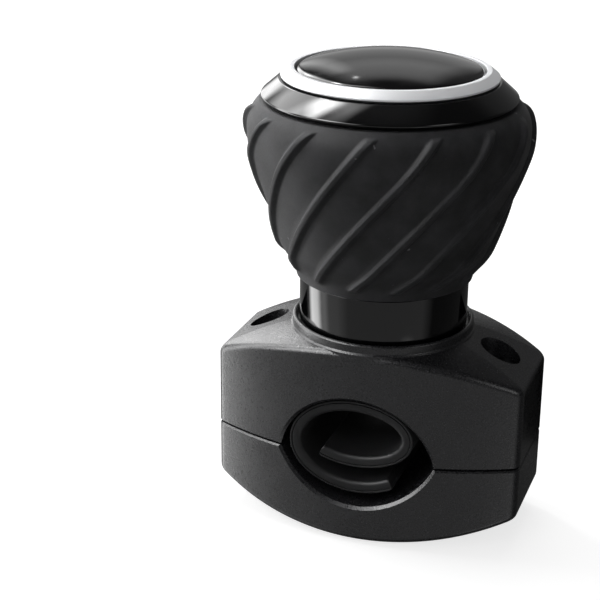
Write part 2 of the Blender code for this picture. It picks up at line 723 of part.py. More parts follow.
def top_bezel():
    """Conical bezel over the grip's shoulder, with a skirt into the core and a stepped seat."""
    skirt = CORE_TOP_RECESS_RADIUS - SLIP_GAP
    skirt_low = BEZEL_Z - BEZEL_SKIRT_LENGTH
    cone_top = RING_RADIUS + BEZEL_LIP / 2
    outline = [
        (skirt - BEZEL_SKIRT_WALL, skirt_low),
        (skirt, skirt_low),
        (skirt, BEZEL_Z),
        (BEZEL_RADIUS - BEZEL_LIP, BEZEL_Z),
        (BEZEL_RADIUS, BEZEL_Z + BEZEL_LIP),
        (cone_top + BEZEL_LIP, BEZEL_TOP_Z - BEZEL_LIP),
        (cone_top, BEZEL_TOP_Z),
        (BEZEL_BORE_RADIUS, BEZEL_TOP_Z),
        (BEZEL_BORE_RADIUS, LEDGE_Z),
        (LEDGE_RADIUS, LEDGE_Z),
        (LEDGE_RADIUS, BEZEL_Z),
        (skirt - BEZEL_SKIRT_WALL, BEZEL_Z - SEAT_GAP),
    ]
    turned("top_bezel", outline, gloss_black(), FINE)


def trim_ring():
    """Silver ring: a flat top edge, a sloping outer wall and a skirt that sits in the bezel."""
    outline = [
        (RING_INNER_RADIUS, LEDGE_Z + SEAT_GAP),
        (RING_SKIRT_RADIUS, LEDGE_Z + SEAT_GAP),
        (RING_SKIRT_RADIUS, RING_Z),
        (RING_RADIUS, RING_Z),
        (RING_RADIUS, RING_Z + RING_LIP),
        (RING_FLAT_RADIUS, RING_TOP_Z),
        (RING_INNER_RADIUS, RING_TOP_Z),
    ]
    turned("trim_ring", outline, silver(), FINE)


def dome_insert():
    """Domed disc inside the trim ring, standing on the bezel's ledge."""
    rim = RING_INNER_RADIUS - SLIP_GAP
    radius = (rim * rim + DOME_RISE * DOME_RISE) / (2 * DOME_RISE)
    rise = RING_TOP_Z - SLIP_GAP
    start = acos(rim / radius)
    outline = [(0, LEDGE_Z + SEAT_GAP), (rim, LEDGE_Z + SEAT_GAP)]
    outline += arc((0, rise + DOME_RISE - radius), radius, start, pi / 2, 6)
    outline[-1] = (0, rise + DOME_RISE)
    turned("dome_insert", outline, gloss_black(), FINE)


def oval_arc(half_sizes, lift, start, end, steps):
    """Points along an oval that is centred on the passage and raised by a lift."""
    wide, high = half_sizes
    return [
        (LINER_SHIFT + wide * cos(angle), lift + high * sin(angle))
        for angle in (start + (end - start) * step / steps for step in range(steps + 1))
    ]


def liner_path():
    """Middle line of the rolled strip: the outer oval up to its top, then the lower return oval."""
    half = LINER_THICKNESS / 2
    outer = (LINER_WIDTH / 2 - half, LINER_RISE / 2 - half)
    inner = (RETURN_WIDTH / 2 - half, RETURN_RISE / 2 - half)
    path = oval_arc(outer, 0.0, LINER_OUTER_END, -1.5 * pi, OUTER_TURN_STEPS)
    return path + oval_arc(inner, outer[1] - inner[1], 0.5 * pi, LINER_INNER_END, RETURN_TURN_STEPS)[1:]


def liner_lift(outline):
    """How far the rolled strip is raised, so that it springs up to the roof of the passage."""
    radius = vesica_radius(PASSAGE_RISE)
    reach = radius - SEAT_GAP
    return min(PASSAGE_RISE - radius + sqrt(max(reach * reach - x * x, 0.0)) - z for x, z in outline)


def rubber_liner():
    """Rubber strip rolled up inside the passage, sprung against its roof."""
    path = liner_path()
    half = LINER_THICKNESS / 2
    outer, inner = [], []
    for index, (x, z) in enumerate(path):
        before = path[max(index - 1, 0)]
        after = path[min(index + 1, len(path) - 1)]
        along = Vector((after[0] - before[0], after[1] - before[1])).normalized()
        outer.append((x - along.y * half, z + along.x * half))
        inner.append((x + along.y * half, z - along.x * half))
    outline = outer + inner[::-1]
    rest = SPLIT_Z + liner_lift(outline)
    mesh = bmesh.new()
    side = [mesh.verts.new((x, -LINER_LENGTH / 2, z + rest)) for x, z in outline]
    face = mesh.faces.new(side)
    bulk = bmesh.ops.extrude_face_region(mesh, geom=[face])
    moved = [item for item in bulk["geom"] if isinstance(item, bmesh.types.BMVert)]
    bmesh.ops.translate(mesh, verts=moved, vec=(0, LINER_LENGTH, 0))
    to_object("rubber_liner", mesh, soft_rubber())


def main():
    clear_scene()
    clamp_upper()
    clamp_lower()
    clamp_screws()
    rubber_liner()
    pivot_bolt()
    bolt_stack()
    bearing("lower", LOWER_BEARING_Z)
    bearing("upper", UPPER_BEARING_Z)
    knob_core()
    rubber_grip()
    top_bezel()
    trim_ring()
    dome_insert()


main()
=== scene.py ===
"""Looks of the steering wheel spinner knob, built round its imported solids.

Each sub-assembly is a class that models its pieces and dresses them. Lengths are in metres, in the
solids' own frame: the clamp's long side along X, the passage for the wheel rim along Y, the knob's
axis along Z.
"""

import logging
import math
from dataclasses import dataclass, field, replace
from enum import Enum
from typing import Callable, Sequence

import bmesh
import bpy
from mathutils import Matrix, Vector
from mathutils.geometry import interpolate_bezier

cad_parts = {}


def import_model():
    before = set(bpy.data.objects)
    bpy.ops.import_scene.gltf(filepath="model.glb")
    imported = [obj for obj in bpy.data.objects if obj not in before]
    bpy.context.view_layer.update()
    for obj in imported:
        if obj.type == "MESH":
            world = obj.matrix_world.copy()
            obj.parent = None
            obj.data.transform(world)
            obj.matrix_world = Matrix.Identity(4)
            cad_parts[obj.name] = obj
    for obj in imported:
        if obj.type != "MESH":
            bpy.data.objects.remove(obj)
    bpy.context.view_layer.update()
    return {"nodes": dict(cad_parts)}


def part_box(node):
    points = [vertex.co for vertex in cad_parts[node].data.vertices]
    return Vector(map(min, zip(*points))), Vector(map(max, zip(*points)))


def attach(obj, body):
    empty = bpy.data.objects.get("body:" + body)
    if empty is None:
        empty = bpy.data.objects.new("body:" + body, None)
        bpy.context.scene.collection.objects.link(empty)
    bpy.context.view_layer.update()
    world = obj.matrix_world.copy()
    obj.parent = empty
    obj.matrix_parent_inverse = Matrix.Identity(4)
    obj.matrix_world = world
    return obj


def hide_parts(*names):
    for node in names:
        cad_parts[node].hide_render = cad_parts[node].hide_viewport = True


LOG = logging.getLogger("spinner_knob")
MM = 0.001

ON_AXIS = 1e-9
MERGE_DISTANCE = 1e-7
JOIN_DISTANCE = 1e-6

Point = tuple[float, float]
Face = Callable[[float, float], float]
BMesh = bmesh.types.BMesh
Thing = bpy.types.Object
Tree = bpy.types.NodeTree
Socket = bpy.types.NodeSocket


class Body(str, Enum):
    """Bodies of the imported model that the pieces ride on."""

    BASE = "base"
    KNOB = "knob"
    LOWER_HALF = "lower_half"
    SCREW_LEFT = "screw_left"
    SCREW_RIGHT = "screw_right"


class Side(Enum):
    """Ends of the clamp, with the sign of X on each."""

    LEFT = -1
    RIGHT = 1

    @property
    def word(self) -> str:
        """The side's name as the nodes write it."""
        return self.name.lower()


# Colours and shader nodes


def linear(hex_colour: str) -> tuple[float, float, float, float]:
    """Turn an sRGB hex colour into the linear colour, with an alpha of one, that a shader takes."""
    shares = [int(hex_colour[start : start + 2], 16) / 255 for start in (1, 3, 5)]
    return (*(s / 12.92 if s <= 0.04045 else ((s + 0.055) / 1.055) ** 2.4 for s in shares), 1.0)


def connect(node: bpy.types.Node, inputs: dict | Sequence) -> None:
    """Set a node's inputs, and link those that are given a socket.

    Args:
        node: Node whose inputs are set.
        inputs: Values or source sockets, by the input's name or index, or in the node's own order.
    """
    named = inputs if isinstance(inputs, dict) else dict(enumerate(inputs))
    for name, value in named.items():
        if isinstance(value, Socket):
            node.id_data.links.new(value, node.inputs[name])
        else:
            node.inputs[name].default_value = value


def add_node(
    tree: Tree, kind: str, inputs: dict | Sequence = (), output: str | int = 0, **settings: str
) -> Socket:
    """Add a shader node with its settings, its values and its links.

    Args:
        tree: Node tree that gets the node.
        kind: Blender's name of the node type, after ShaderNode.
        inputs: Values or source sockets, as connect takes them.
        output: Name or index of the output that is wanted.
        settings: Properties of the node.

    Returns:
        The output's socket.
    """
    node = tree.nodes.new("ShaderNode" + kind)
    for name, value in settings.items():
        setattr(node, name, value)
    connect(node, inputs)
    return node.outputs[output]


@dataclass(frozen=True)
class Pattern:
    """Noise on a piece's own coordinates: the real width of its lumps, and the values that count.

    A pattern is nought at its low value and one at its high one. It can be squeezed along Z, and
    can have a finer noise added before it is read.
    """

    size: float
    layers: float
    low: float = 0.0
    high: float = 1.0
    squeeze: float = 1.0
    finer: float = 0.0
    layer_strength: float = 0.55

    def share(self, tree: Tree) -> Socket:
        """Add the pattern's nodes.

        Args:
            tree: Node tree that gets them.

        Returns:
            Socket that runs from 0 to 1.
        """
        place = add_node(tree, "TexCoord", output="Object")
        scaled = add_node(tree, "Mapping", {"Vector": place, "Scale": (1, 1, self.squeeze)})
        value: Socket | float = 0.0
        for size, layers in ((self.size, self.layers), (self.finer, 1.0)):
            if size > 0:
                look = {"Scale": 1 / size, "Detail": layers, "Roughness": self.layer_strength}
                lumps = add_node(tree, "TexNoise", {"Vector": scaled, **look})
                value = add_node(tree, "Math", (lumps, value), operation="ADD")
        return add_node(tree, "MapRange", (value, self.low, self.high))


@dataclass(frozen=True)
class Finish:
    """A material and how its surface was made, with the patterns that this left in it.

    Relief gives each pattern's depth in metres. Tones give the colour where a pattern is one. Gloss
    gives the change in roughness where a pattern is nought and where it is one.
    """

    name: str
    colour: str
    roughness: float
    slot: str
    metallic: float = 0.0
    relief: tuple[tuple[Pattern, float], ...] = ()
    tones: tuple[tuple[Pattern, str], ...] = ()
    gloss: tuple[tuple[Pattern, float, float], ...] = ()
    extras: tuple[tuple[str, float], ...] = ()

    def material(self) -> bpy.types.Material:
        """Make the finish's material, once for each name.

        Returns:
            The material.
        """
        found = bpy.data.materials.get(self.name)
        if found:
            return found
        made = bpy.data.materials.new(self.name)
        made.use_nodes = True
        made.diffuse_color = linear(self.colour)
        tree = made.node_tree
        inputs: dict = {"Metallic": self.metallic, **dict(self.extras)}
        for pattern, depth in self.relief:
            under = {"Normal": inputs["Normal"]} if "Normal" in inputs else {}
            height = {"Height": pattern.share(tree), "Distance": depth, "Strength": 1.0}
            inputs["Normal"] = add_node(tree, "Bump", height | under)
        inputs["Base Color"] = linear(self.colour)
        for pattern, tone in self.tones:
            # A Mix node's colours are its inputs 6 and 7, and its mixed colour is output 2
            blend = {0: pattern.share(tree), 6: inputs["Base Color"], 7: linear(tone)}
            inputs["Base Color"] = add_node(tree, "Mix", blend, 2, data_type="RGBA")
        inputs["Roughness"] = self.roughness
        for pattern, low, high in self.gloss:
            change = add_node(tree, "MapRange", (pattern.share(tree), 0, 1, low, high))
            both = (change, inputs["Roughness"])
            inputs["Roughness"] = add_node(tree, "Math", both, operation="ADD")
        connect(tree.nodes["Principled BSDF"], inputs)
        return made


# Glass-filled nylon from a spark-eroded mould: an even, hard grain that glints in grazing light
NYLON_GRAIN = Pattern(0.30 * MM, 2, 0.30, 0.75)
CLAMP_NYLON = Finish(
    "glass_filled_nylon_black", "#18181a", 0.29, "textured_plastic",
    relief=(
        (replace(NYLON_GRAIN, low=0.36, high=0.64), 0.012 * MM),
        (Pattern(0.10 * MM, 1), 0.003 * MM),
    ),
    tones=((NYLON_GRAIN, "#29292b"),),
    gloss=(
        (Pattern(9 * MM, 2, 0.7, 1.3, finer=0.10 * MM), 0.08, -0.06),
        (Pattern(0.34 * MM, 0, 0.60, 0.72), 0.0, -0.14),
    ),
)
# The same nylon in the bearings' cages, greyer and duller
CAGE_NYLON = replace(
    CLAMP_NYLON,
    name="moulded_cage_nylon", colour="#3b3c3e", roughness=0.48, slot="bearing_cage",
    tones=((NYLON_GRAIN, "#434446"),),
)
# ABS from a polished mould: a deep black gloss with slight waves and a trace of handling
GLOSS_ABS = Finish(
    "polished_abs_black", "#060607", 0.07, "gloss_plastic",
    relief=((Pattern(6 * MM, 1), 0.006 * MM),),
    gloss=((Pattern(3.5 * MM, 4, 0.45, 0.75, squeeze=2.5), 0.0, 0.07),),
)
# Moulded rubber: matte, with a fine dry skin that pales in grazing light, and a little dust
RUBBER_SKIN = Pattern(0.30 * MM, 3)
RUBBER_MOTTLE = Pattern(5 * MM, 3, 0.35, 0.70)
RUBBER_DUST = (Pattern(1.1 * MM, 0, 0.85, 0.88), "#5c5c5e")
GRIP_RUBBER = Finish(
    "moulded_rubber_black", "#161617", 0.60, "grip_rubber",
    relief=((RUBBER_SKIN, 0.020 * MM),),
    tones=((RUBBER_MOTTLE, "#272729"), RUBBER_DUST),
    gloss=((replace(RUBBER_SKIN, low=0.3, high=0.7), -0.06, 0.06),),
    extras=(("Specular IOR Level", 0.24), ("Sheen Weight", 0.05), ("Sheen Roughness", 0.45)),
)
# The liner's rubber is extruded, so its skin is smoother and shines more
LINER_RUBBER = replace(
    GRIP_RUBBER,
    name="extruded_rubber_black", colour="#1c1c1d", roughness=0.42, slot="liner_rubber",
    tones=((RUBBER_MOTTLE, "#242425"), RUBBER_DUST),
)
# Plastic ring with a satin silver plating: bright, with a fine cast grain under the plating
PLATE_GRAIN = Pattern(0.50 * MM, 3)
SILVER_PLATE = Finish(
    "satin_silver_plate", "#f0f1f3", 0.46, "silver_trim", 0.30,
    relief=((PLATE_GRAIN, 0.008 * MM),),
    gloss=((replace(PLATE_GRAIN, low=0.3, high=0.7), -0.05, 0.07),),
)
# Forged and zinc plated steel: fine tool marks and a cloudy, pale grey tone
STEEL_CLOUDS = Pattern(2.2 * MM, 3, 0.35, 0.75)
ZINC_PLATE = Finish(
    "zinc_plated_steel", "#c3c6c9", 0.30, "zinc_steel", 1.0,
    relief=((Pattern(0.35 * MM, 2, squeeze=3.0), 0.006 * MM),),
    tones=((STEEL_CLOUDS, "#a6a9ab"),),
    gloss=((replace(STEEL_CLOUDS, low=0.3, high=0.7), -0.06, 0.08),),
)
# The same steel blackened and oiled: dark, with a soft shine
BLACK_OXIDE = replace(
    ZINC_PLATE,
    name="blackened_steel", colour="#2b2c2e", roughness=0.36, slot="black_steel",
    tones=((STEEL_CLOUDS, "#1d1d1f"),),
)
# Bearing steel, ground and polished: bright and nearly mirror-like
RACE_STEEL = replace(
    ZINC_PLATE,
    name="ground_bearing_steel", colour="#cfd1d3", roughness=0.16, slot="bearing_steel",
    tones=((STEEL_CLOUDS, "#bcbec0"),),
)


# Sections and meshes


@dataclass(frozen=True)
class Corner:
    """Corner of a section, and the radius that rounds it."""

    across: float
    up: float
    radius: float = 0.0


def rounded(corners: Sequence[Corner], steps: int = 5) -> list[Point]:
    """Closed section through its corners, with each one rounded.

    Args:
        corners: Corners in order.
        steps: Faces round a rounded corner.

    Returns:
        Points of the section as (across, up) pairs.
    """
    section: list[Point] = []
    for index, corner in enumerate(corners):
        here = Vector((corner.across, corner.up))
        if corner.radius <= 0:
            section.append(tuple(here))
            continue
        beside = (corners[index - 1], corners[(index + 1) % len(corners)])
        back, ahead = (Vector((other.across, other.up)) - here for other in beside)
        half = back.angle(ahead) / 2
        reach = min(corner.radius / math.tan(half), 0.48 * back.length, 0.48 * ahead.length)
        radius = reach * math.tan(half)
        back.normalize()
        ahead.normalize()
        centre = here + (back + ahead).normalized() * radius / math.sin(half)
        start = here + back * reach - centre
        end = here + ahead * reach - centre
        spread = math.pi - 2 * half
        for step in range(steps + 1):
            share = step / steps
            along = start * math.sin((1 - share) * spread) + end * math.sin(share * spread)
            section.append(tuple(centre + along / math.sin(spread)))
    return section


def spun(section: Sequence[Point], steps: int) -> BMesh:
    """Spin a closed section round Z.

    Args:
        section: Points as (radius, height) pairs. Those on the axis become poles.
        steps: Faces round the piece.

    Returns:
        The closed mesh, facing outwards.
    """
    mesh = bmesh.new()
    ring = [mesh.verts.new((radius, 0, height)) for radius, height in section]
    edges = [
        mesh.edges.new(pair)
        for pair in zip(ring, ring[1:] + ring[:1])
        if max(vert.co.x for vert in pair) > ON_AXIS
    ]
    turn = {"cent": (0, 0, 0), "axis": (0, 0, 1), "angle": math.tau, "steps": steps}
    bmesh.ops.spin(mesh, geom=ring + edges, use_merge=True, **turn)
    bmesh.ops.remove_doubles(mesh, verts=mesh.verts, dist=MERGE_DISTANCE)
    bmesh.ops.recalc_face_normals(mesh, faces=mesh.faces)
    return mesh


def rising(rings: Sequence[Sequence[Vector]]) -> BMesh:
    """Extrude a closed outline through rings of places, and close both ends.

    Args:
        rings: Places of the outline's points on each ring, all with as many points.

    Returns:
        The closed mesh, facing outwards.
    """
    mesh = bmesh.new()
    first = [mesh.verts.new(place) for place in rings[0]]
    edges = [mesh.edges.new(pair) for pair in zip(first, first[1:] + first[:1])]
    mesh.faces.new(first)
    verts = first
    for ring in rings[1:]:
        grown = bmesh.ops.extrude_edge_only(mesh, edges=edges)["geom"]
        edges = [item for item in grown if isinstance(item, bmesh.types.BMEdge)]
        edges = [edge for edge in edges if edge.is_boundary]
        new = {vert for edge in edges for vert in edge.verts}
        sides = ((edge.other_vert(vert) for edge in vert.link_edges) for vert in verts)
        verts = [next(other for other in others if other in new) for others in sides]
        for vert, place in zip(verts, ring):
            vert.co = place
    mesh.faces.new(verts)
    bmesh.ops.recalc_face_normals(mesh, faces=mesh.faces)
    return mesh


def prism(outline: Sequence[Point], low: float, high: float) -> BMesh:
    """Upright prism over a closed outline, between two heights."""
    return rising([[Vector((x, y, height)) for x, y in outline] for height in (low, high)])


def hexagon(flats: float) -> list[Point]:
    """Corners of a hexagon with two flats facing Y.

    Args:
        flats: Width across the flats.

    Returns:
        Points as (x, y) pairs.
    """
    reach = flats / math.sqrt(3)
    turns = (math.tau * index / 6 for index in range(6))
    return [(reach * math.cos(turn), reach * math.sin(turn)) for turn in turns]


def linked(name: str, mesh: BMesh) -> Thing:
    """Make an object of a bmesh and link it to the scene.

    Args:
        name: The object's name.
        mesh: Its shape, which is freed.

    Returns:
        The object.
    """
    data = bpy.data.meshes.new(name)
    mesh.to_mesh(data)
    mesh.free()
    made = bpy.data.objects.new(name, data)
    bpy.context.scene.collection.objects.link(made)
    return made


def shifted(mesh: BMesh, way: Sequence[float]) -> BMesh:
    """Move a bmesh and give it back."""
    bmesh.ops.translate(mesh, verts=mesh.verts, vec=way)
    return mesh


class Solid:
    """A piece under construction: an object whose Booleans are applied as they are asked for."""

    def __init__(self, name: str, mesh: BMesh, merge: bool = False) -> None:
        """Start the piece from its first shape, which is freed, and set if Booleans merge points."""
        self.object = linked(name, mesh)
        self.merge = merge

    def cut(self, mesh: BMesh) -> "Solid":
        """Cut a shape away, free it, and give the solid back."""
        return self._combine(mesh, "DIFFERENCE")

    def join(self, mesh: BMesh) -> "Solid":
        """Join a shape on, free it, and give the solid back."""
        return self._combine(mesh, "UNION")

    def keep(self, mesh: BMesh) -> "Solid":
        """Keep only what lies inside a shape, free it, and give the solid back."""
        return self._combine(mesh, "INTERSECT")

    def _combine(self, mesh: BMesh, operation: str) -> "Solid":
        """Run one Boolean and store its result as the object's mesh.

        Args:
            mesh: The other shape, which is freed.
            operation: Blender's name of the Boolean.

        Returns:
            The solid itself.
        """
        tool = linked("tool", mesh)
        modifier = self.object.modifiers.new("combine", "BOOLEAN")
        modifier.operation = operation
        modifier.object = tool
        graph = bpy.context.evaluated_depsgraph_get()
        result = bpy.data.meshes.new_from_object(self.object.evaluated_get(graph))
        self.object.modifiers.clear()
        if self.merge:
            # Points that nearly meet are merged, so that the next Boolean gets a closed mesh
            joined = bmesh.new()
            joined.from_mesh(result)
            bmesh.ops.remove_doubles(joined, verts=joined.verts, dist=JOIN_DISTANCE)
            bmesh.ops.dissolve_degenerate(joined, edges=joined.edges, dist=MERGE_DISTANCE)
            joined.to_mesh(result)
            joined.free()
        used = (self.object.data, tool.data)
        self.object.data = result
        bpy.data.objects.remove(tool)
        for data in used:
            bpy.data.meshes.remove(data)
        return self

    def finish(
        self, finish: Finish, body: Body, node: str, sharp: float = 40.0, even: bool = False
    ) -> Thing:
        """Shade and dress the piece, and tie it to its body.

        Args:
            finish: Its material.
            body: Body that it rides on.
            node: Node that it stands for.
            sharp: Least angle of an edge that stays sharp, in degrees.
            even: Whether large faces set the shading of their edges.

        Returns:
            The finished object.
        """
        made = self.object
        made.data.name = made.name
        made.data.shade_smooth()
        made.data.set_sharp_from_angle(angle=math.radians(sharp))
        if even:
            modifier = made.modifiers.new("even_shading", "WEIGHTED_NORMAL")
            modifier.keep_sharp = True
        made.data.materials.clear()
        made.data.materials.append(finish.material())
        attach(made, body.value)
        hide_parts(node)
        return made


# The clamp


@dataclass
class Passage:
    """Pointed oval passage for the wheel rim: an arc above the split and one below it."""

    half_width: float = 15.1 * MM
    rise: float = 12.2 * MM
    depth: float = 9.6 * MM
    steps: int = 48

    def arc(self, height: float) -> Point:
        """Radius of an arc over the passage, and its centre's height, by its middle's height."""
        radius = (self.half_width**2 + height**2) / (2 * abs(height))
        return radius, height - math.copysign(radius, height)

    def outline(self, grown: float = 0.0) -> list[Point]:
        """Outline of the passage about the split.

        Args:
            grown: How far the outline is moved outwards.

        Returns:
            Points as (across, up) pairs.
        """
        (upper, upper_z), (lower, lower_z) = self.arc(self.rise), self.arc(-self.depth)
        upper, lower = upper + grown, lower + grown
        meet = (upper**2 - lower**2 - upper_z**2 + lower_z**2) / (2 * (lower_z - upper_z))
        points: list[Point] = []
        for reach, centre in ((upper, upper_z), (-lower, lower_z)):
            spread = math.acos(max(-1.0, min(1.0, (meet - centre) / reach)))
            turns = (spread - 2 * spread * step / self.steps for step in range(self.steps))
            points += [(reach * math.sin(turn), centre + reach * math.cos(turn)) for turn in turns]
        return points


@dataclass
class Clamp:
    """Two crowned halves that close round the wheel rim, with screws in deep counterbores."""

    middle_width: float = 35.0 * MM
    end_width: float = 20.0 * MM
    corner: float = 2.2 * MM
    least_corner: float = 0.4 * MM
    edge: float = 1.1 * MM
    split_edge: float = 0.30 * MM
    crown_radius: float = 62.0 * MM
    crown_height: float = 24.2 * MM
    land_radius: float = 15.0 * MM
    mouth_edge: float = 0.55 * MM
    collar_wall: float = 0.9 * MM
    collar_fillet: float = 0.28 * MM
    neck_radius: float = 16.0 * MM
    neck_gap: float = 0.4 * MM
    screw_reach: float = 23.2 * MM
    screw_seat: float = 12.2 * MM
    counterbore: float = 3.8 * MM
    counterbore_edge: float = 0.35 * MM
    shank_hole: float = 2.25 * MM
    nut_flats: float = 7.4 * MM
    nut_ceiling: float = 9.2 * MM
    bolt_flats: float = 13.4 * MM
    bolt_seat: float = 17.2 * MM
    bolt_hole: float = 4.1 * MM
    tool_reach: float = 6.0 * MM
    mouth_reach: float = 0.6 * MM
    boss_depth: float = 2.0 * MM
    bow_steps: int = 84
    corner_steps: int = 7
    edge_steps: int = 6
    crown_rings: int = 34
    collar_steps: int = 128
    hole_steps: int = 64
    sharp: float = 38.0
    passage: Passage = field(default_factory=Passage)

    def __post_init__(self) -> None:
        """Read the levels that the solids give, and work out the bow of the front."""
        low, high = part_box("clamp_upper")
        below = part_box("clamp_lower")[1].z
        self.half_length = high.x
        self.split, self.gap = (low.z + below) / 2, (low.z - below) / 2
        self.collar_top = high.z
        self.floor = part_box("knob_core")[0].z - self.neck_gap
        self.crown_top = self.split + self.crown_height
        sagitta = (self.middle_width - self.end_width) / 2
        self.bow_radius = (self.half_length**2 + sagitta**2) / (2 * sagitta)
        self.bow_back = self.bow_radius - self.middle_width / 2

    def depth_at(self, across: float) -> float:
        """How far the front face stands before the knob's axis, at a place along X."""
        return math.sqrt(self.bow_radius**2 - across**2) - self.bow_back

    def crown_drop(self, x: float, y: float = 0.0) -> float:
        """How far the crowned face has fallen below the crown's top at a place."""
        return self.crown_radius - math.sqrt(self.crown_radius**2 - x * x - y * y)

    def outline(self, inset: float = 0.0) -> list[Point]:
        """The clamp seen from above.

        Args:
            inset: How far the outline is moved inwards.

        Returns:
            Points as (x, y) pairs, as many for each inset.
        """
        radius, back = self.bow_radius - inset, self.bow_back
        corner = max(self.corner - inset, self.least_corner)
        centre_x = self.half_length - inset - corner
        centre_y = math.sqrt((radius - corner) ** 2 - centre_x**2) - back
        touch = math.atan2(centre_y + back, centre_x)
        turns = [touch * step / self.corner_steps for step in range(self.corner_steps)]
        side = [
            (centre_x + corner * math.cos(turn), centre_y + corner * math.sin(turn))
            for turn in turns
        ]
        sweep = math.pi - 2 * touch
        turns = [touch + sweep * step / self.bow_steps for step in range(self.bow_steps + 1)]
        bow = [(radius * math.cos(turn), radius * math.sin(turn) - back) for turn in turns]
        front = side + bow + [(-x, y) for x, y in reversed(side)]
        return front + [(-x, -y) for x, y in front]

    def half_mesh(self, split: float, face: Face, way: int) -> BMesh:
        """Extrude a half from the split up its side, round its edge and over its crowned face.

        Args:
            split: Height of its flat face.
            face: Height of its crowned face at a place.
            way: 1 for the upper half and -1 for the lower one.

        Returns:
            The closed mesh.
        """
        rings = [[Vector((x, y, split)) for x, y in self.outline(self.split_edge)]]
        rings.append([Vector((x, y, split + way * self.split_edge)) for x, y in self.outline()])
        for step in range(self.edge_steps + 1):
            turn = math.pi / 2 * step / self.edge_steps
            sunk = way * self.edge * (1 - math.sin(turn))
            inset = self.edge * (1 - math.cos(turn))
            rings.append([Vector((x, y, face(x, y) - sunk)) for x, y in self.outline(inset)])
        last = self.outline(self.edge)
        for ring in range(1, self.crown_rings):
            share = 1 - ring / self.crown_rings
            places = [(x * share, y * share) for x, y in last]
            rings.append([Vector((x, y, face(x, y))) for x, y in places])
        return rising(rings)

    def passage_tool(self) -> BMesh:
        """Make the passage's cutter, with a chamfer that follows the bowed front and back.

        Returns:
            The cutting shape.
        """
        past = self.mouth_reach
        wide = self.passage.outline(self.mouth_edge + past)
        plain = self.passage.outline()
        rings = []
        for way in (-1, 1):
            mouth = [[(x, self.middle_width, z) for x, z in wide]]
            mouth.append([(x, self.depth_at(x) + past, z) for x, z in wide])
            mouth.append([(x, self.depth_at(x) - self.mouth_edge, z) for x, z in plain])
            placed = [[Vector((x, way * y, self.split + z)) for x, y, z in ring] for ring in mouth]
            rings += placed[::-way]
        return rising(rings)

    def hole_tool(self, side: Side, radius: float, low: float, high: float) -> BMesh:
        """Make the cutter of a round hole on a screw's axis, between two heights."""
        mesh = spun([(0, low), (radius, low), (radius, high), (0, high)], self.hole_steps)
        return shifted(mesh, (side.value * self.screw_reach, 0, 0))

    def counterbore_tool(self, side: Side) -> BMesh:
        """Make the cutter of a counterbore, whose small chamfer lies in the slope of the crown.

        Args:
            side: End of the clamp.

        Returns:
            The cutting shape.
        """
        seat = self.split + self.screw_seat
        mouth = self.crown_top - self.crown_drop(self.screw_reach)
        radius, edge, far = self.counterbore, self.counterbore_edge, self.tool_reach
        section = [(0, seat), (radius, seat), (radius, mouth - edge)]
        section += [(radius + edge + far, mouth + far), (0, mouth + far)]
        mesh = spun(section, self.hole_steps)
        slope = self.screw_reach / math.sqrt(self.crown_radius**2 - self.screw_reach**2)
        for vert in mesh.verts:
            if vert.co.z > seat + MERGE_DISTANCE:
                vert.co.z -= side.value * slope * vert.co.x
        return shifted(mesh, (side.value * self.screw_reach, 0, 0))

    def upper(self) -> None:
        """Model the upper half with its collar, recess, bolt pocket and counterbores."""
        top, above = self.crown_top, self.crown_top + 10 * MM
        shell = self.half_mesh(self.split + self.gap, lambda x, y: top - self.crown_drop(x, y), 1)
        half = Solid("clamp_upper_shell", shell, merge=True)
        inner = self.neck_radius + self.neck_gap
        outer = inner + self.collar_wall
        foot = outer + self.collar_fillet
        boss = rounded([
            Corner(0, self.floor - self.boss_depth),
            Corner(foot, self.floor - self.boss_depth),
            Corner(foot, top - self.crown_drop(foot) + 0.02 * MM),
            Corner(outer, top - self.crown_drop(outer) + self.collar_fillet, self.collar_fillet),
            Corner(outer, self.collar_top, 0.42 * MM),
            Corner(inner - 0.5 * MM, self.collar_top),
            Corner(0, self.collar_top),
        ])
        half.join(spun(boss, self.collar_steps))
        recess = rounded([
            Corner(0, self.split),
            Corner(self.bolt_hole, self.split),
            Corner(self.bolt_hole, self.floor),
            Corner(inner, self.floor),
            Corner(inner, self.collar_top - 0.35 * MM, 0.3 * MM),
            Corner(inner + 1.2 * MM, self.collar_top + 0.85 * MM),
            Corner(inner + 1.2 * MM, above),
            Corner(0, above),
        ])
        half.cut(spun(recess, self.collar_steps))
        half.cut(self.passage_tool())
        half.cut(prism(hexagon(self.bolt_flats), self.split, self.split + self.bolt_seat))
        for side in Side:
            half.cut(self.hole_tool(side, self.shank_hole, 0, top))
            half.cut(self.counterbore_tool(side))
        half.finish(CLAMP_NYLON, Body.BASE, "clamp_upper", self.sharp, True)

    def lower(self) -> None:
        """Model the lower half with its flat land and its nut pockets."""
        land_drop = self.crown_drop(self.land_radius)
        shell = self.half_mesh(
            self.split - self.gap, lambda x, y: max(self.crown_drop(x, y) - land_drop, 0.0), -1
        )
        half = Solid("clamp_lower_shell", shell)
        half.cut(self.passage_tool())
        for side in Side:
            half.cut(self.hole_tool(side, self.shank_hole, 0, self.split * 2))
            pocket = prism(hexagon(self.nut_flats), -self.split, self.split - self.nut_ceiling)
            half.cut(shifted(pocket, (side.value * self.screw_reach, 0, 0)))
        half.finish(CLAMP_NYLON, Body.LOWER_HALF, "clamp_lower", self.sharp, True)

    def build(self) -> None:
        """Model and dress both halves."""
        self.upper()
        self.lower()


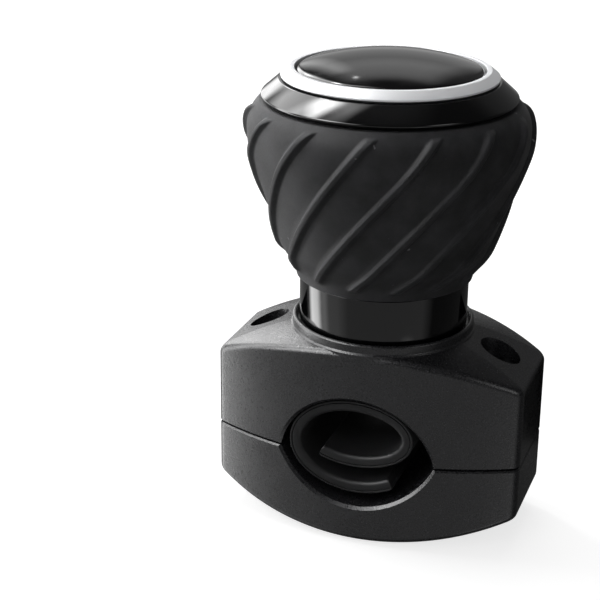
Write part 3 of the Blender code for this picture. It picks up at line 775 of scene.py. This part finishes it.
@dataclass
class ClampScrews:
    """Socket head cap screws and the nuts that they turn in."""

    reach: float = 23.2 * MM
    shank: float = 2.0 * MM
    head: float = 3.5 * MM
    head_height: float = 4.0 * MM
    pitch: float = 0.7 * MM
    thread_depth: float = 0.35 * MM
    thread_steps: int = 32
    key: float = 3.0 * MM
    key_depth: float = 2.2 * MM
    knurls: int = 48
    knurl_depth: float = 0.09 * MM
    nut_flats: float = 7.0 * MM
    nut_face: float = 0.485
    nut_corner: float = 0.62
    nut_steps: int = 72
    bore_steps: int = 48
    lip: float = 0.35 * MM
    tool_reach: float = 2.0 * MM

    def screw(self, side: Side) -> None:
        """Model one screw: knurled head, key socket and a real helical thread.

        Args:
            side: End of the clamp.
        """
        node = "clamp_screw_" + side.word
        low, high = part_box(node)
        top, seat = high.z, high.z - self.head_height
        neck = self.shank - 0.05 * MM
        steps = 2 * self.knurls
        mesh = spun(rounded([
            Corner(0, seat - 1 * MM),
            Corner(neck, seat - 1 * MM),
            Corner(neck, seat, 0.2 * MM),
            Corner(self.head, seat, 0.15 * MM),
            Corner(self.head, top - 0.5 * MM, 0.1 * MM),
            Corner(self.head - 0.35 * MM, top, 0.15 * MM),
            Corner(0, top),
        ]), steps)
        for vert in mesh.verts:
            radius = vert.co.xy.length
            column = round(math.atan2(vert.co.y, vert.co.x) * steps / math.tau)
            outside = radius > self.head - 0.05 * MM
            if outside and seat + 0.3 * MM < vert.co.z < top - 0.4 * MM and column % 2:
                vert.co.xy = vert.co.xy * (1 - self.knurl_depth / radius)
        made = Solid(node + "_body", mesh)
        made.cut(prism(hexagon(self.key), top - self.key_depth, top + self.key_depth))
        made.join(self.thread(low.z, seat - 0.9 * MM))
        made.object.data.transform(Matrix.Translation((side.value * self.reach, 0, 0)))
        made.finish(BLACK_OXIDE, Body["SCREW_" + side.name], node, 40)

    def thread(self, low: float, high: float) -> BMesh:
        """Make the threaded shank, with a pointed crest that winds up it.

        Args:
            low: Height of the tip.
            high: Height of the thread's top.

        Returns:
            The closed mesh.
        """
        root = self.shank - self.thread_depth
        rings = []
        levels = int((high - low) / self.pitch * 6)
        for level in range(levels + 1):
            height = low + (high - low) * level / levels
            ends = min(1.0, max(min(height - low, high - height) / self.pitch, 0.0) + 0.25)
            ring = []
            for step in range(self.thread_steps):
                turn = (height / self.pitch - step / self.thread_steps) % 1.0
                radius = root + self.thread_depth * (1 - abs(2 * turn - 1)) * ends
                angle = math.tau * step / self.thread_steps
                ring.append(Vector((radius * math.cos(angle), radius * math.sin(angle), height)))
            rings.append(ring)
        return rising(rings)

    def nut(self, side: Side) -> None:
        """Model one nut with chamfered corners and bore.

        Args:
            side: End of the clamp.
        """
        node = "clamp_nut_" + side.word
        low, high = (corner.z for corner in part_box(node))
        made = Solid(node + "_body", prism(hexagon(self.nut_flats), low, high))
        flat, reach = self.nut_flats * self.nut_face, self.nut_flats * self.nut_corner
        drop = (reach - flat) * math.tan(math.radians(30))
        chamfered = [(0, low), (flat, low), (reach, low + drop)]
        chamfered += [(reach, high - drop), (flat, high), (0, high)]
        made.keep(spun(chamfered, self.nut_steps))
        bore, lip, far = self.shank + 0.2 * MM, self.lip, self.tool_reach
        hole = [(0, low - far), (bore + lip + far, low - far), (bore, low + lip)]
        hole += [(bore, high - lip), (bore + lip + far, high + far), (0, high + far)]
        made.cut(spun(hole, self.bore_steps))
        made.object.data.transform(Matrix.Translation((side.value * self.reach, 0, 0)))
        made.finish(ZINC_PLATE, Body.LOWER_HALF, node, 30, True)

    def build(self) -> None:
        """Model and dress both screws and both nuts."""
        for side in Side:
            self.screw(side)
            self.nut(side)


# The rolled liner


@dataclass
class Liner:
    """Rubber strip rolled up in the passage: an outer turn, then a lower return turn inside it."""

    thickness: float = 2.3 * MM
    width: float = 25.7 * MM
    rise: float = 18.9 * MM
    return_width: float = 22.9 * MM
    return_rise: float = 13.5 * MM
    shift: float = -0.5 * MM
    outer_end: float = -0.89
    inner_end: float = -2.25
    edge: float = 0.85 * MM
    end_edge: float = 0.45 * MM
    end_shares: tuple[float, ...] = (0, 0.06, 0.2, 0.45, 0.75)
    outer_edge: float = 0.25 * MM
    outer_steps: int = 84
    inner_steps: int = 72
    groove_place: float = 0.22
    groove_width: float = 0.20 * MM
    groove_depth: float = 0.30 * MM
    groove_edge: float = 0.06 * MM
    groove_slope: float = 0.04 * MM
    groove_root: float = 0.05 * MM

    def path(self) -> list[Vector]:
        """Middle line of the strip: round the outer oval to its top, then the return oval.

        Returns:
            Points as (across, up) vectors.
        """
        half = self.thickness / 2
        outer = (self.width / 2 - half, self.rise / 2 - half)
        inner = (self.return_width / 2 - half, self.return_rise / 2 - half)
        arcs = (
            (outer, 0.0, self.outer_end, -1.5 * math.pi, self.outer_steps),
            (inner, outer[1] - inner[1], 0.5 * math.pi, self.inner_end, self.inner_steps),
        )
        points: list[Vector] = []
        for (wide, high), lift, start, end, steps in arcs:
            for step in range(1 if points else 0, steps + 1):
                angle = start + (end - start) * step / steps
                across = self.shift + wide * math.cos(angle)
                points.append(Vector((across, lift + high * math.sin(angle))))
        return points

    def section(self, half_length: float) -> list[Point]:
        """Section of the strip: round edges, and a groove along each of its two long edges.

        Args:
            half_length: Half of the strip's length along Y.

        Returns:
            Points as (outwards, along Y) pairs.
        """
        half = self.thickness / 2
        middle = half - self.groove_place * self.thickness
        near, far = middle - self.groove_width / 2, middle + self.groove_width / 2
        corners = []
        for way in (-1, 1):
            end = way * half_length
            floor = end - way * self.groove_depth
            edge = [
                Corner(-half, end, self.edge),
                Corner(near, end, self.groove_edge),
                Corner(near + self.groove_slope, floor, self.groove_root),
                Corner(far - self.groove_slope, floor, self.groove_root),
                Corner(far, end, self.groove_edge),
                Corner(half, end, self.outer_edge),
            ]
            corners += edge if way < 0 else edge[::-1]
        return rounded(corners, 3)

    def build(self) -> None:
        """Sweep the section along the roll, and dress it."""
        low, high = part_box("rubber_liner")
        path = self.path()
        lift = low.z + self.thickness / 2 - min(point.y for point in path)
        near = [self.end_edge * share for share in self.end_shares]
        first, last = (path[1] - path[0]).normalized(), (path[-2] - path[-1]).normalized()
        start = [path[0] + first * away for away in near]
        path = start + path[1:-1] + [path[-1] + last * away for away in near[::-1]]
        section = self.section(high.y)
        rings = []
        count = len(path)
        for index, point in enumerate(path):
            along = (path[min(index + 1, count - 1)] - path[max(index - 1, 0)]).normalized()
            out = Vector((-along.y, along.x))
            # The strip thins towards either end by what a round edge takes off
            from_end = min(index, count - 1 - index)
            short = self.end_edge - near[from_end] if from_end < len(near) else 0.0
            sunk = self.end_edge - math.sqrt(self.end_edge**2 - short**2)
            out *= 1 - 2 * sunk / self.thickness
            places = ((point + out * far, y) for far, y in section)
            rings.append([Vector((place.x, y, place.y + lift)) for place, y in places])
        strip = Solid("rubber_liner_strip", rising(rings))
        strip.finish(LINER_RUBBER, Body.LOWER_HALF, "rubber_liner", 50)


# The knob


@dataclass
class Grip:
    """Vase-shaped rubber sleeve with raised spiral ribs."""

    foot_radius: float = 16.7 * MM
    flare: Point = (20.0 * MM, 6.8 * MM)
    taper: Point = (24.8 * MM, 21.7 * MM)
    belly: Point = (26.0 * MM, 27.8 * MM)
    shoulder_radius: float = 23.8 * MM
    thickness: float = 2.1 * MM
    core_gap: float = 0.06 * MM
    ribs: int = 14
    columns: int = 22
    rib_height: float = 0.9 * MM
    rib_crest: float = 0.7 * MM
    rib_foot: float = 3.0 * MM
    rib_low: float = 1.5 * MM
    rib_high: float = 32.3 * MM
    rib_end: float = 1.4 * MM
    lean: float = 0.76
    phase: float = -0.06

    def wall(self) -> list[Vector]:
        """Outer section of the sleeve, from the foot to the shoulder.

        Returns:
            Points as (radius, height above the foot) vectors.
        """
        base, top = (corner.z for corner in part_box("rubber_grip"))
        foot = Vector((self.foot_radius, 0))
        flare, taper, belly = Vector(self.flare), Vector(self.taper), Vector(self.belly)
        shoulder = Vector((self.shoulder_radius, top - base))
        slope = (taper - flare).normalized()
        up = Vector((0, 1))
        inward = Vector((-1, 1)).normalized()
        low = (flare - foot).length * 0.42
        high = (belly - taper).length * 0.42
        last = (shoulder - belly).length
        points = interpolate_bezier(foot, foot + up * low, flare - slope * low, flare, 28)
        points += [flare.lerp(taper, share / 44) for share in range(1, 44)]
        points += interpolate_bezier(taper, taper + slope * high, belly - up * high, belly, 20)
        round_off = (belly, belly + up * last * 0.5, shoulder - inward * last * 0.3, shoulder)
        return points + interpolate_bezier(*round_off, 26)[1:]

    def rib_turns(self, wall: Sequence[Vector]) -> list[float]:
        """How far the ribs have turned at each point of the wall, counted from their upper ends.

        Args:
            wall: The outer section.

        Returns:
            Angles in radians.
        """
        turns = [0.0]
        for below, above in zip(wall, wall[1:]):
            turns.append(turns[-1] + self.lean * (above - below).length * 2 / (below.x + above.x))
        top = next(turn for turn, point in zip(turns, wall) if point.y >= self.rib_high - 0.2 * MM)
        return [turn - top + self.phase for turn in turns]

    def column_shares(self) -> list[float]:
        """Where the columns of faces lie across one rib's pitch, close together on the rib.

        Returns:
            Shares of the pitch, from just before the rib's middle.
        """
        on_rib = self.columns * 3 // 4
        radius = self.belly[0]
        foot = self.rib_foot * 1.15 / radius / (math.tau / self.ribs)
        shares = [foot * (step / on_rib - 0.5) for step in range(on_rib + 1)]
        rest = self.columns - on_rib
        shares += [foot / 2 + (1 - foot) * step / rest for step in range(1, rest)]
        return shares

    def lift_at(self, distance: float, height: float) -> float:
        """How far the surface is raised.

        Args:
            distance: Distance from a rib's middle, round the grip.
            height: Height above the foot.

        Returns:
            The rise.
        """
        inside = min(height - self.rib_low, self.rib_high - height) / self.rib_end
        end = math.sqrt(max(0.0, 1 - (1 - min(max(inside, 0.0), 1.0)) ** 2))
        half_crest, half_foot = self.rib_crest / 2, self.rib_foot / 2
        share = min(1.0, max(0.0, (half_foot - abs(distance)) / (half_foot - half_crest)))
        return self.rib_height * end * share * share * (3 - 2 * share)

    def build(self) -> None:
        """Spin the sleeve, turn its columns along the ribs and raise them."""
        wall = self.wall()
        turns = self.rib_turns(wall)
        inner = [*wall[:-6:6], wall[-1]]
        hollow = [(point.x - self.thickness + self.core_gap, point.y) for point in reversed(inner)]
        steps = self.ribs * self.columns
        mesh = spun([*map(tuple, wall), *hollow], steps)
        shares = self.column_shares()
        levels = {round(point.y / MM, 4): (point.x, turn) for point, turn in zip(wall, turns)}
        for vert in mesh.verts:
            radius = math.hypot(vert.co.x, vert.co.y)
            outside, turn = levels.get(round(vert.co.z / MM, 4), (math.inf, 0.0))
            column = round(math.atan2(vert.co.y, vert.co.x) * steps / math.tau) % steps
            rib, place = divmod(column, self.columns)
            angle = (rib + shares[place]) * math.tau / self.ribs + turn
            if radius > outside - self.thickness / 2:
                away = shares[place] if shares[place] < 0.5 else shares[place] - 1
                radius += self.lift_at(away * math.tau / self.ribs * radius, vert.co.z)
            vert.co.xy = (radius * math.cos(angle), radius * math.sin(angle))
        sleeve = Solid("grip_sleeve", shifted(mesh, (0, 0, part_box("rubber_grip")[0].z)))
        sleeve.finish(GRIP_RUBBER, Body.KNOB, "rubber_grip", 60)


@dataclass
class KnobBody:
    """Core with its glossy neck, and the bezel, trim ring and domed insert that close the top."""

    neck_radius: float = 16.0 * MM
    neck_edge: float = 0.4 * MM
    seat_gap: float = 0.3 * MM
    bore: float = 11.2 * MM
    waist: float = 8.2 * MM
    cover: float = 2.3 * MM
    recess_radius: float = 17.8 * MM
    recess_depth: float = 3.2 * MM
    bezel_gap: float = 0.4 * MM
    bezel_lip: float = 0.45 * MM
    skirt_outer: float = 17.6 * MM
    skirt_inner: float = 16.0 * MM
    ring_gap: float = 0.2 * MM
    ring_flat: float = 18.3 * MM
    ring_skirt: float = 18.6 * MM
    ring_inner: float = 17.4 * MM
    dome_rise: float = 2.8 * MM
    dome_lip: float = 0.5 * MM
    dome_steps: int = 40
    steps: int = 160

    def turn(
        self, name: str, section: Sequence[Point], finish: Finish, node: str, sharp: float = 40
    ) -> None:
        """Spin one piece of the knob's body from its section, and dress it."""
        Solid(name, spun(section, self.steps)).finish(finish, Body.KNOB, node, sharp)

    def core(self, wall: Sequence[Vector]) -> None:
        """Model the core: neck, hub under the rubber, two bearing seats and the recess on top.

        Args:
            wall: Outer section of the grip that covers the hub.
        """
        low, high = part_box("knob_core")
        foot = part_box("rubber_grip")[0].z
        low_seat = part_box("lower_outer_race")[1].z + self.seat_gap
        high_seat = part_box("upper_outer_race")[0].z - self.seat_gap
        recess = high.z - self.recess_depth
        hub = [Corner(point.x - self.cover, foot + point.y) for point in (*wall[4:-1:12], wall[-1])]
        self.turn("core_moulding", rounded([
            Corner(self.bore, low.z),
            Corner(self.neck_radius, low.z, self.neck_edge),
            Corner(self.neck_radius, foot - self.seat_gap, 0.15 * MM),
            Corner(wall[0].x - self.cover, foot - self.seat_gap),
            *hub,
            Corner(self.recess_radius, high.z),
            Corner(self.recess_radius, recess),
            Corner(self.bore, recess),
            Corner(self.bore, high_seat),
            Corner(self.waist, high_seat),
            Corner(self.waist, low_seat),
            Corner(self.bore, low_seat),
        ]), GLOSS_ABS, "knob_core")

    def bezel(self) -> None:
        """Model the conical bezel with soft edges."""
        low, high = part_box("top_bezel")
        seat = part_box("rubber_grip")[1].z + self.bezel_gap
        ring_low, ring_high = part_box("trim_ring")
        ledge = ring_low.z - self.seat_gap
        mouth = self.ring_skirt + self.ring_gap
        self.turn("bezel_cone", rounded([
            Corner(self.skirt_inner, low.z),
            Corner(self.skirt_outer, low.z),
            Corner(self.skirt_outer, seat),
            Corner(high.x - 0.5 * MM, seat, 0.2 * MM),
            Corner(high.x, seat + 0.55 * MM, self.bezel_lip),
            Corner(ring_high.x + 0.35 * MM, high.z - 0.1 * MM, self.bezel_lip),
            Corner(ring_high.x - 0.3 * MM, high.z),
            Corner(mouth, high.z),
            Corner(mouth, ledge),
            Corner(self.skirt_inner + 0.3 * MM, ledge),
            Corner(self.skirt_inner + 0.3 * MM, seat),
            Corner(self.skirt_inner, seat - 0.3 * MM),
        ]), GLOSS_ABS, "top_bezel")

    def trim(self) -> None:
        """Model the silver ring: a flat top and a short outer slope."""
        low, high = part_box("trim_ring")
        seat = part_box("top_bezel")[1].z + self.seat_gap
        self.turn("trim_ring_plated", rounded([
            Corner(self.ring_inner, low.z),
            Corner(self.ring_skirt, low.z),
            Corner(self.ring_skirt, seat),
            Corner(high.x, seat, 0.1 * MM),
            Corner(high.x, seat + 0.35 * MM, 0.18 * MM),
            Corner(self.ring_flat, high.z, 0.3 * MM),
            Corner(self.ring_inner, high.z, 0.12 * MM),
        ]), SILVER_PLATE, "trim_ring")

    def insert(self) -> None:
        """Model the domed insert, whose edge rolls over a small lip."""
        low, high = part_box("dome_insert")
        rim = self.ring_inner - self.ring_gap
        radius = (rim**2 + self.dome_rise**2) / (2 * self.dome_rise)
        reach = math.asin(rim / radius)
        turns = [reach * (1 - step / self.dome_steps) for step in range(2, self.dome_steps + 1)]
        centre = high.z - radius
        arc = ((radius * math.sin(turn), radius * math.cos(turn)) for turn in turns)
        dome = [Vector((across, centre + up)) for across, up in arc]
        wall = Vector((rim, high.z - self.dome_rise - self.dome_lip))
        handles = (
            wall + Vector((0, self.dome_lip / 2)),
            dome[0] + (dome[0] - dome[1]).normalized() * self.dome_lip / 2,
        )
        lip = interpolate_bezier(wall, *handles, dome[0], 10)
        section = [(0.0, low.z), (rim, low.z), *map(tuple, (*lip, *dome[1:]))]
        self.turn("dome_lens", section, GLOSS_ABS, "dome_insert", 60)

    def build(self, wall: Sequence[Vector]) -> None:
        """Model and dress the pieces of the knob's body.

        Args:
            wall: Outer section of the grip that covers the hub.
        """
        self.core(wall)
        self.bezel()
        self.trim()
        self.insert()


@dataclass
class Bearings:
    """What turns and what is clamped inside: solids from the frame, dressed where they are."""

    sharp: float = 35.0
    zinc_plated: tuple[str, ...] = (
        "pivot_bolt", "seat_washer", "spacer_sleeve", "top_washer", "lock_nut",
    )

    def finish_of(self, name: str) -> Finish | None:
        """Finish of a carried-over node.

        Args:
            name: The node's name.

        Returns:
            Its finish, or nothing where a modelled piece stands for the node.
        """
        if name in self.zinc_plated:
            return ZINC_PLATE
        kinds = {"race": RACE_STEEL, "ball": RACE_STEEL, "cage": CAGE_NYLON}
        return next((finish for word, finish in kinds.items() if word in name), None)

    def build(self, nodes: dict[str, Thing]) -> None:
        """Dress every inner node.

        Args:
            nodes: Nodes of the frame, by name.
        """
        for name, node in sorted(nodes.items()):
            finish = self.finish_of(name)
            if finish is None:
                continue
            if not node.material_slots:
                node.data.materials.append(finish.material())
            for holder in node.material_slots:
                holder.material = finish.material()
            node.data.shade_smooth()
            node.data.set_sharp_from_angle(angle=math.radians(self.sharp))
            LOG.info("%s: dressed in %s", name, finish.name)


# The studio


TOWARDS_CAMERA = Vector((0.281, -0.960, 0))
PICTURE_LEFT = Vector((-0.960, -0.281, 0))
UP = Vector((0, 0, 1))
AIM = Vector((0, 0, 45 * MM))
FLOOR_GREY = "#c4c4c4"
CARD_BLACK = "#0a0a0a"


class Ray(str, Enum):
    """Kinds of ray that a stage piece can be hidden from."""

    CAMERA = "visible_camera"
    DIFFUSE = "visible_diffuse"
    GLOSSY = "visible_glossy"
    SHADOW = "visible_shadow"
    TRANSMISSION = "visible_transmission"
    VOLUME = "visible_volume_scatter"


def direction(turn: float, height: float) -> Vector:
    """Direction out from the knob.

    Args:
        turn: Degrees from straight behind the knob towards the picture's left.
        height: Degrees above the horizon.

    Returns:
        The unit vector.
    """
    turn, height = math.radians(turn), math.radians(height)
    level = PICTURE_LEFT * math.sin(turn) - TOWARDS_CAMERA * math.cos(turn)
    return level * math.cos(height) + UP * math.sin(height)


@dataclass(frozen=True)
class Patch:
    """Bright patch of the room that gloss reflects.

    It lies between two turns and two heights, and fades over its soft edge, all in degrees.
    """

    level: float
    turns: Point
    heights: Point
    soft: float = 6.0

    def glow(
        self, tree: Tree, turn: Socket, height: Socket
    ) -> Socket:
        """Add the nodes that give the patch's light.

        Args:
            tree: Node tree that gets the nodes.
            turn: Socket with the turn in degrees.
            height: Socket with the height in degrees.

        Returns:
            The light's socket, nought outside the patch.
        """
        light: Socket | float = self.level
        for value, (low, high) in ((turn, self.turns), (height, self.heights)):
            for edge, reach in ((low, self.soft), (high, -self.soft)):
                inside = add_node(tree, "MapRange", (value, edge - reach, edge + reach))
                light = add_node(tree, "Math", (inside, light), operation="MULTIPLY")
        return light


@dataclass(frozen=True)
class Lamp:
    """Soft lamp that hangs in a direction from the knob and faces it."""

    name: str
    turn: float
    height: float
    distance: float
    size: Point
    power: float
    glossy: bool = False

    def hang(self) -> None:
        """Add the lamp to the scene."""
        data = bpy.data.lights.new(self.name, "AREA")
        data.shape = "RECTANGLE"
        data.size, data.size_y = self.size
        data.energy = self.power
        made = bpy.data.objects.new(self.name, data)
        away = direction(self.turn, self.height) * self.distance
        made.location = AIM + away
        made.rotation_euler = away.to_track_quat("Z", "Y").to_euler()
        made.visible_camera = False
        made.visible_glossy = self.glossy
        bpy.context.scene.collection.objects.link(made)


@dataclass
class Studio:
    """Camera at the photograph's place, soft lamps, a pale floor and what the gloss reflects."""

    camera_place: tuple[float, float, float] = (0.078846, -0.269131, 0.152231)
    yaw: float = 19.587
    pitch: float = 21.29
    roll: float = 0.572
    lens: float = 94.4
    surround_radius: float = 3.0
    floor_radius: float = 2.9
    floor_glow: float = 0.75
    card_distance: float = 0.026
    card_size: Point = (0.12, 0.030)
    dim: float = 0.05
    fill: float = 0.12
    for_gloss: tuple[Ray, ...] = tuple(ray for ray in Ray if ray is not Ray.GLOSSY)
    lamps: tuple[Lamp, ...] = (
        Lamp("window_left", 70, 24, 1.1, (0.5, 0.8), 7.4),
        Lamp("soft_front", 160, 40, 1.4, (1.0, 1.0), 3.4),
        Lamp("soft_top", 30, 72, 1.3, (1.0, 1.0), 6.4),
        Lamp("spot_behind", 37, 54, 1.4, (0.10, 0.10), 2.2, True),
    )
    patches: tuple[Patch, ...] = (
        Patch(7.0, (63, 84), (-40, 70), 4.0),
        Patch(15.0, (65, 83), (49, 65), 4.0),
        Patch(3.4, (80, 106), (60, 80), 8.0),
        Patch(12.0, (96, 128), (16, 54), 5.0),
        Patch(4.0, (126, 150), (20, 48), 5.0),
        Patch(4.6, (38, 66), (22, 56), 7.0),
        Patch(5.0, (19, 36), (26, 52), 3.0),
        Patch(4.2, (18, 34), (8, 34), 3.0),
        Patch(2.6, (17, 60), (-8, 8), 3.0),
        Patch(0.8, (9, 12.5), (8, 34), 1.5),
        Patch(9.0, (8.6, 9.4), (39.6, 41), 0.5),
        Patch(0.40, (-12, 12), (1, 43), 2.0),
        Patch(0.35, (-11, 12), (25, 42), 4.0),
        Patch(0.20, (-14, 60), (-60, 4), 5.0),
        Patch(4.0, (12, 46), (54, 66), 5.0),
        Patch(2.2, (-140, -118), (18, 42), 5.0),
        Patch(1.4, (-152, -138), (-60, -30), 4.0),
        Patch(0.08, (-60, -14), (-5, 45), 8.0),
        Patch(0.35, (95, 200), (-60, 8), 8.0),
        Patch(0.35, (-200, -118), (-60, 4), 8.0),
        Patch(0.40, (88, 124), (-60, 4), 8.0),
        Patch(1.2, (84, 98), (-60, 0), 4.0),
        Patch(0.12, (-200, 200), (72, 100), 8.0),
    )

    def camera(self) -> None:
        """Set the camera, which looks along its yaw and pitch and is rolled a little."""
        data = bpy.data.cameras.new("camera")
        data.lens = self.lens
        data.sensor_width = 36
        data.clip_start, data.clip_end = 0.01, 20
        made = bpy.data.objects.new("camera", data)
        bpy.context.scene.collection.objects.link(made)
        yaw, pitch, roll = (math.radians(angle) for angle in (self.yaw, self.pitch, self.roll))
        right = Vector((math.cos(yaw), math.sin(yaw), 0))
        ahead = UP.cross(right) * math.cos(pitch) - UP * math.sin(pitch)
        up = right.cross(ahead)
        turned_right = right * math.cos(roll) + up * math.sin(roll)
        turned_up = up * math.cos(roll) - right * math.sin(roll)
        turn = Matrix((turned_right, turned_up, -ahead)).transposed().to_4x4()
        made.matrix_world = Matrix.Translation(self.camera_place) @ turn
        bpy.context.scene.camera = made

    def seen(self, tree: Tree) -> Socket:
        """One for a ray from the camera, off gloss or through glass, and nought for any other.

        Args:
            tree: Node tree that gets the nodes.

        Returns:
            The value's socket.
        """
        path = add_node(tree, "LightPath").node.outputs
        value = path["Is Camera Ray"]
        for kind in ("Is Glossy Ray", "Is Transmission Ray"):
            value = add_node(tree, "Math", (value, path[kind]), operation="MAXIMUM")
        return value

    def world(self) -> None:
        """Light the scene evenly, and show white behind it to the camera and to gloss."""
        world = bpy.data.worlds.new("studio")
        world.use_nodes = True
        tree = world.node_tree
        strength = add_node(tree, "MapRange", (self.seen(tree), 0, 1, self.fill, 1))
        connect(tree.nodes["Background"], {"Color": (1, 1, 1, 1), "Strength": strength})
        bpy.context.scene.world = world

    def stage(
        self,
        name: str,
        mesh: BMesh,
        paint: str,
        surface: Callable[[Tree], Socket],
        hidden: Sequence[Ray],
    ) -> None:
        """Add a stage piece with its material.

        Args:
            name: The piece's name.
            mesh: Its shape, which is freed.
            paint: The material's name.
            surface: Method that adds the material's shader and gives its output.
            hidden: Rays that don't see the piece.
        """
        made = linked(name, mesh)
        look = bpy.data.materials.new(paint)
        look.use_nodes = True
        tree = look.node_tree
        tree.nodes.remove(tree.nodes["Principled BSDF"])
        connect(tree.nodes["Material Output"], {"Surface": surface(tree)})
        made.data.materials.append(look)
        for ray in hidden:
            setattr(made, ray.value, False)

    def floor_paint(self, tree: Tree) -> Socket:
        """Add a pale paint that glows to white where the camera sees it.

        Args:
            tree: Node tree that gets the nodes.

        Returns:
            The shader's socket.
        """
        paint = add_node(tree, "BsdfDiffuse", {"Color": linear(FLOOR_GREY)})
        strength = add_node(tree, "MapRange", (self.seen(tree), 0, 1, 0, self.floor_glow))
        glow = add_node(tree, "Emission", {"Strength": strength})
        return add_node(tree, "AddShader", (paint, glow))

    def room_glow(self, tree: Tree) -> Socket:
        """Add the room's light: windows at the left and behind, dark at the right and in front.

        Args:
            tree: Node tree that gets the nodes.

        Returns:
            The shader's socket.
        """
        place = add_node(tree, "TexCoord", output="Object")
        way = add_node(tree, "VectorMath", (place,), operation="NORMALIZE")
        left, behind, up = (
            add_node(tree, "VectorMath", (way, axis), "Value", operation="DOT_PRODUCT")
            for axis in (PICTURE_LEFT, -TOWARDS_CAMERA, UP)
        )
        turn = add_node(tree, "Math", (left, behind), operation="ARCTAN2")
        height = add_node(tree, "Math", (up,), operation="ARCSINE")
        angles = (add_node(tree, "Math", (angle,), operation="DEGREES") for angle in (turn, height))
        turn, height = angles
        light: Socket | float = self.dim
        for patch in self.patches:
            light = add_node(tree, "Math", (patch.glow(tree, turn, height), light), operation="ADD")
        return add_node(tree, "Emission", {"Strength": light})

    def card_paint(self, tree: Tree) -> Socket:
        """Add the card's matte black paint, and give its socket."""
        return add_node(tree, "BsdfDiffuse", {"Color": linear(CARD_BLACK)})

    def floor(self) -> None:
        """Lay the pale floor, which runs out to white and keeps the knob's shadow."""
        mesh = bmesh.new()
        bmesh.ops.create_circle(mesh, cap_ends=True, segments=96, radius=self.floor_radius)
        self.stage("floor", mesh, "painted_floor", self.floor_paint, (Ray.GLOSSY,))

    def card(self) -> None:
        """Stand a black card low behind the knob, for gloss alone, to keep the passage dark."""
        wide, high = self.card_size
        mesh = bmesh.new()
        bmesh.ops.create_grid(mesh, x_segments=1, y_segments=1, size=0.5)
        upright = Matrix.Rotation(math.pi / 2, 4, "X") @ Matrix.Diagonal((wide, high, 1, 1))
        facing = Matrix.Rotation(math.atan2(TOWARDS_CAMERA.x, -TOWARDS_CAMERA.y), 4, "Z")
        place = Matrix.Translation(UP * high / 2 - TOWARDS_CAMERA * self.card_distance)
        bmesh.ops.transform(mesh, matrix=place @ facing @ upright, verts=mesh.verts)
        self.stage("card", mesh, "black_card", self.card_paint, self.for_gloss)

    def surround(self) -> None:
        """Hang the room that gloss alone reflects."""
        mesh = bmesh.new()
        bmesh.ops.create_uvsphere(mesh, u_segments=48, v_segments=24, radius=self.surround_radius)
        bmesh.ops.reverse_faces(mesh, faces=mesh.faces)
        self.stage("surround", mesh, "room_walls", self.room_glow, self.for_gloss)

    def build(self) -> None:
        """Set the camera, the lamps, the world, the floor, the card and the surround."""
        self.camera()
        for lamp in self.lamps:
            lamp.hang()
        self.world()
        self.floor()
        self.card()
        self.surround()
        bpy.context.scene.view_settings.view_transform = "Standard"


def main() -> None:
    """Load the solids, model and dress each sub-assembly, and light the scene."""
    logging.basicConfig(level=logging.INFO, format="%(message)s")
    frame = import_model()
    Bearings().build(frame["nodes"])
    Clamp().build()
    ClampScrews().build()
    Liner().build()
    grip = Grip()
    grip.build()
    KnobBody().build(grip.wall())
    Studio().build()


if __name__ == "__main__":
    main()
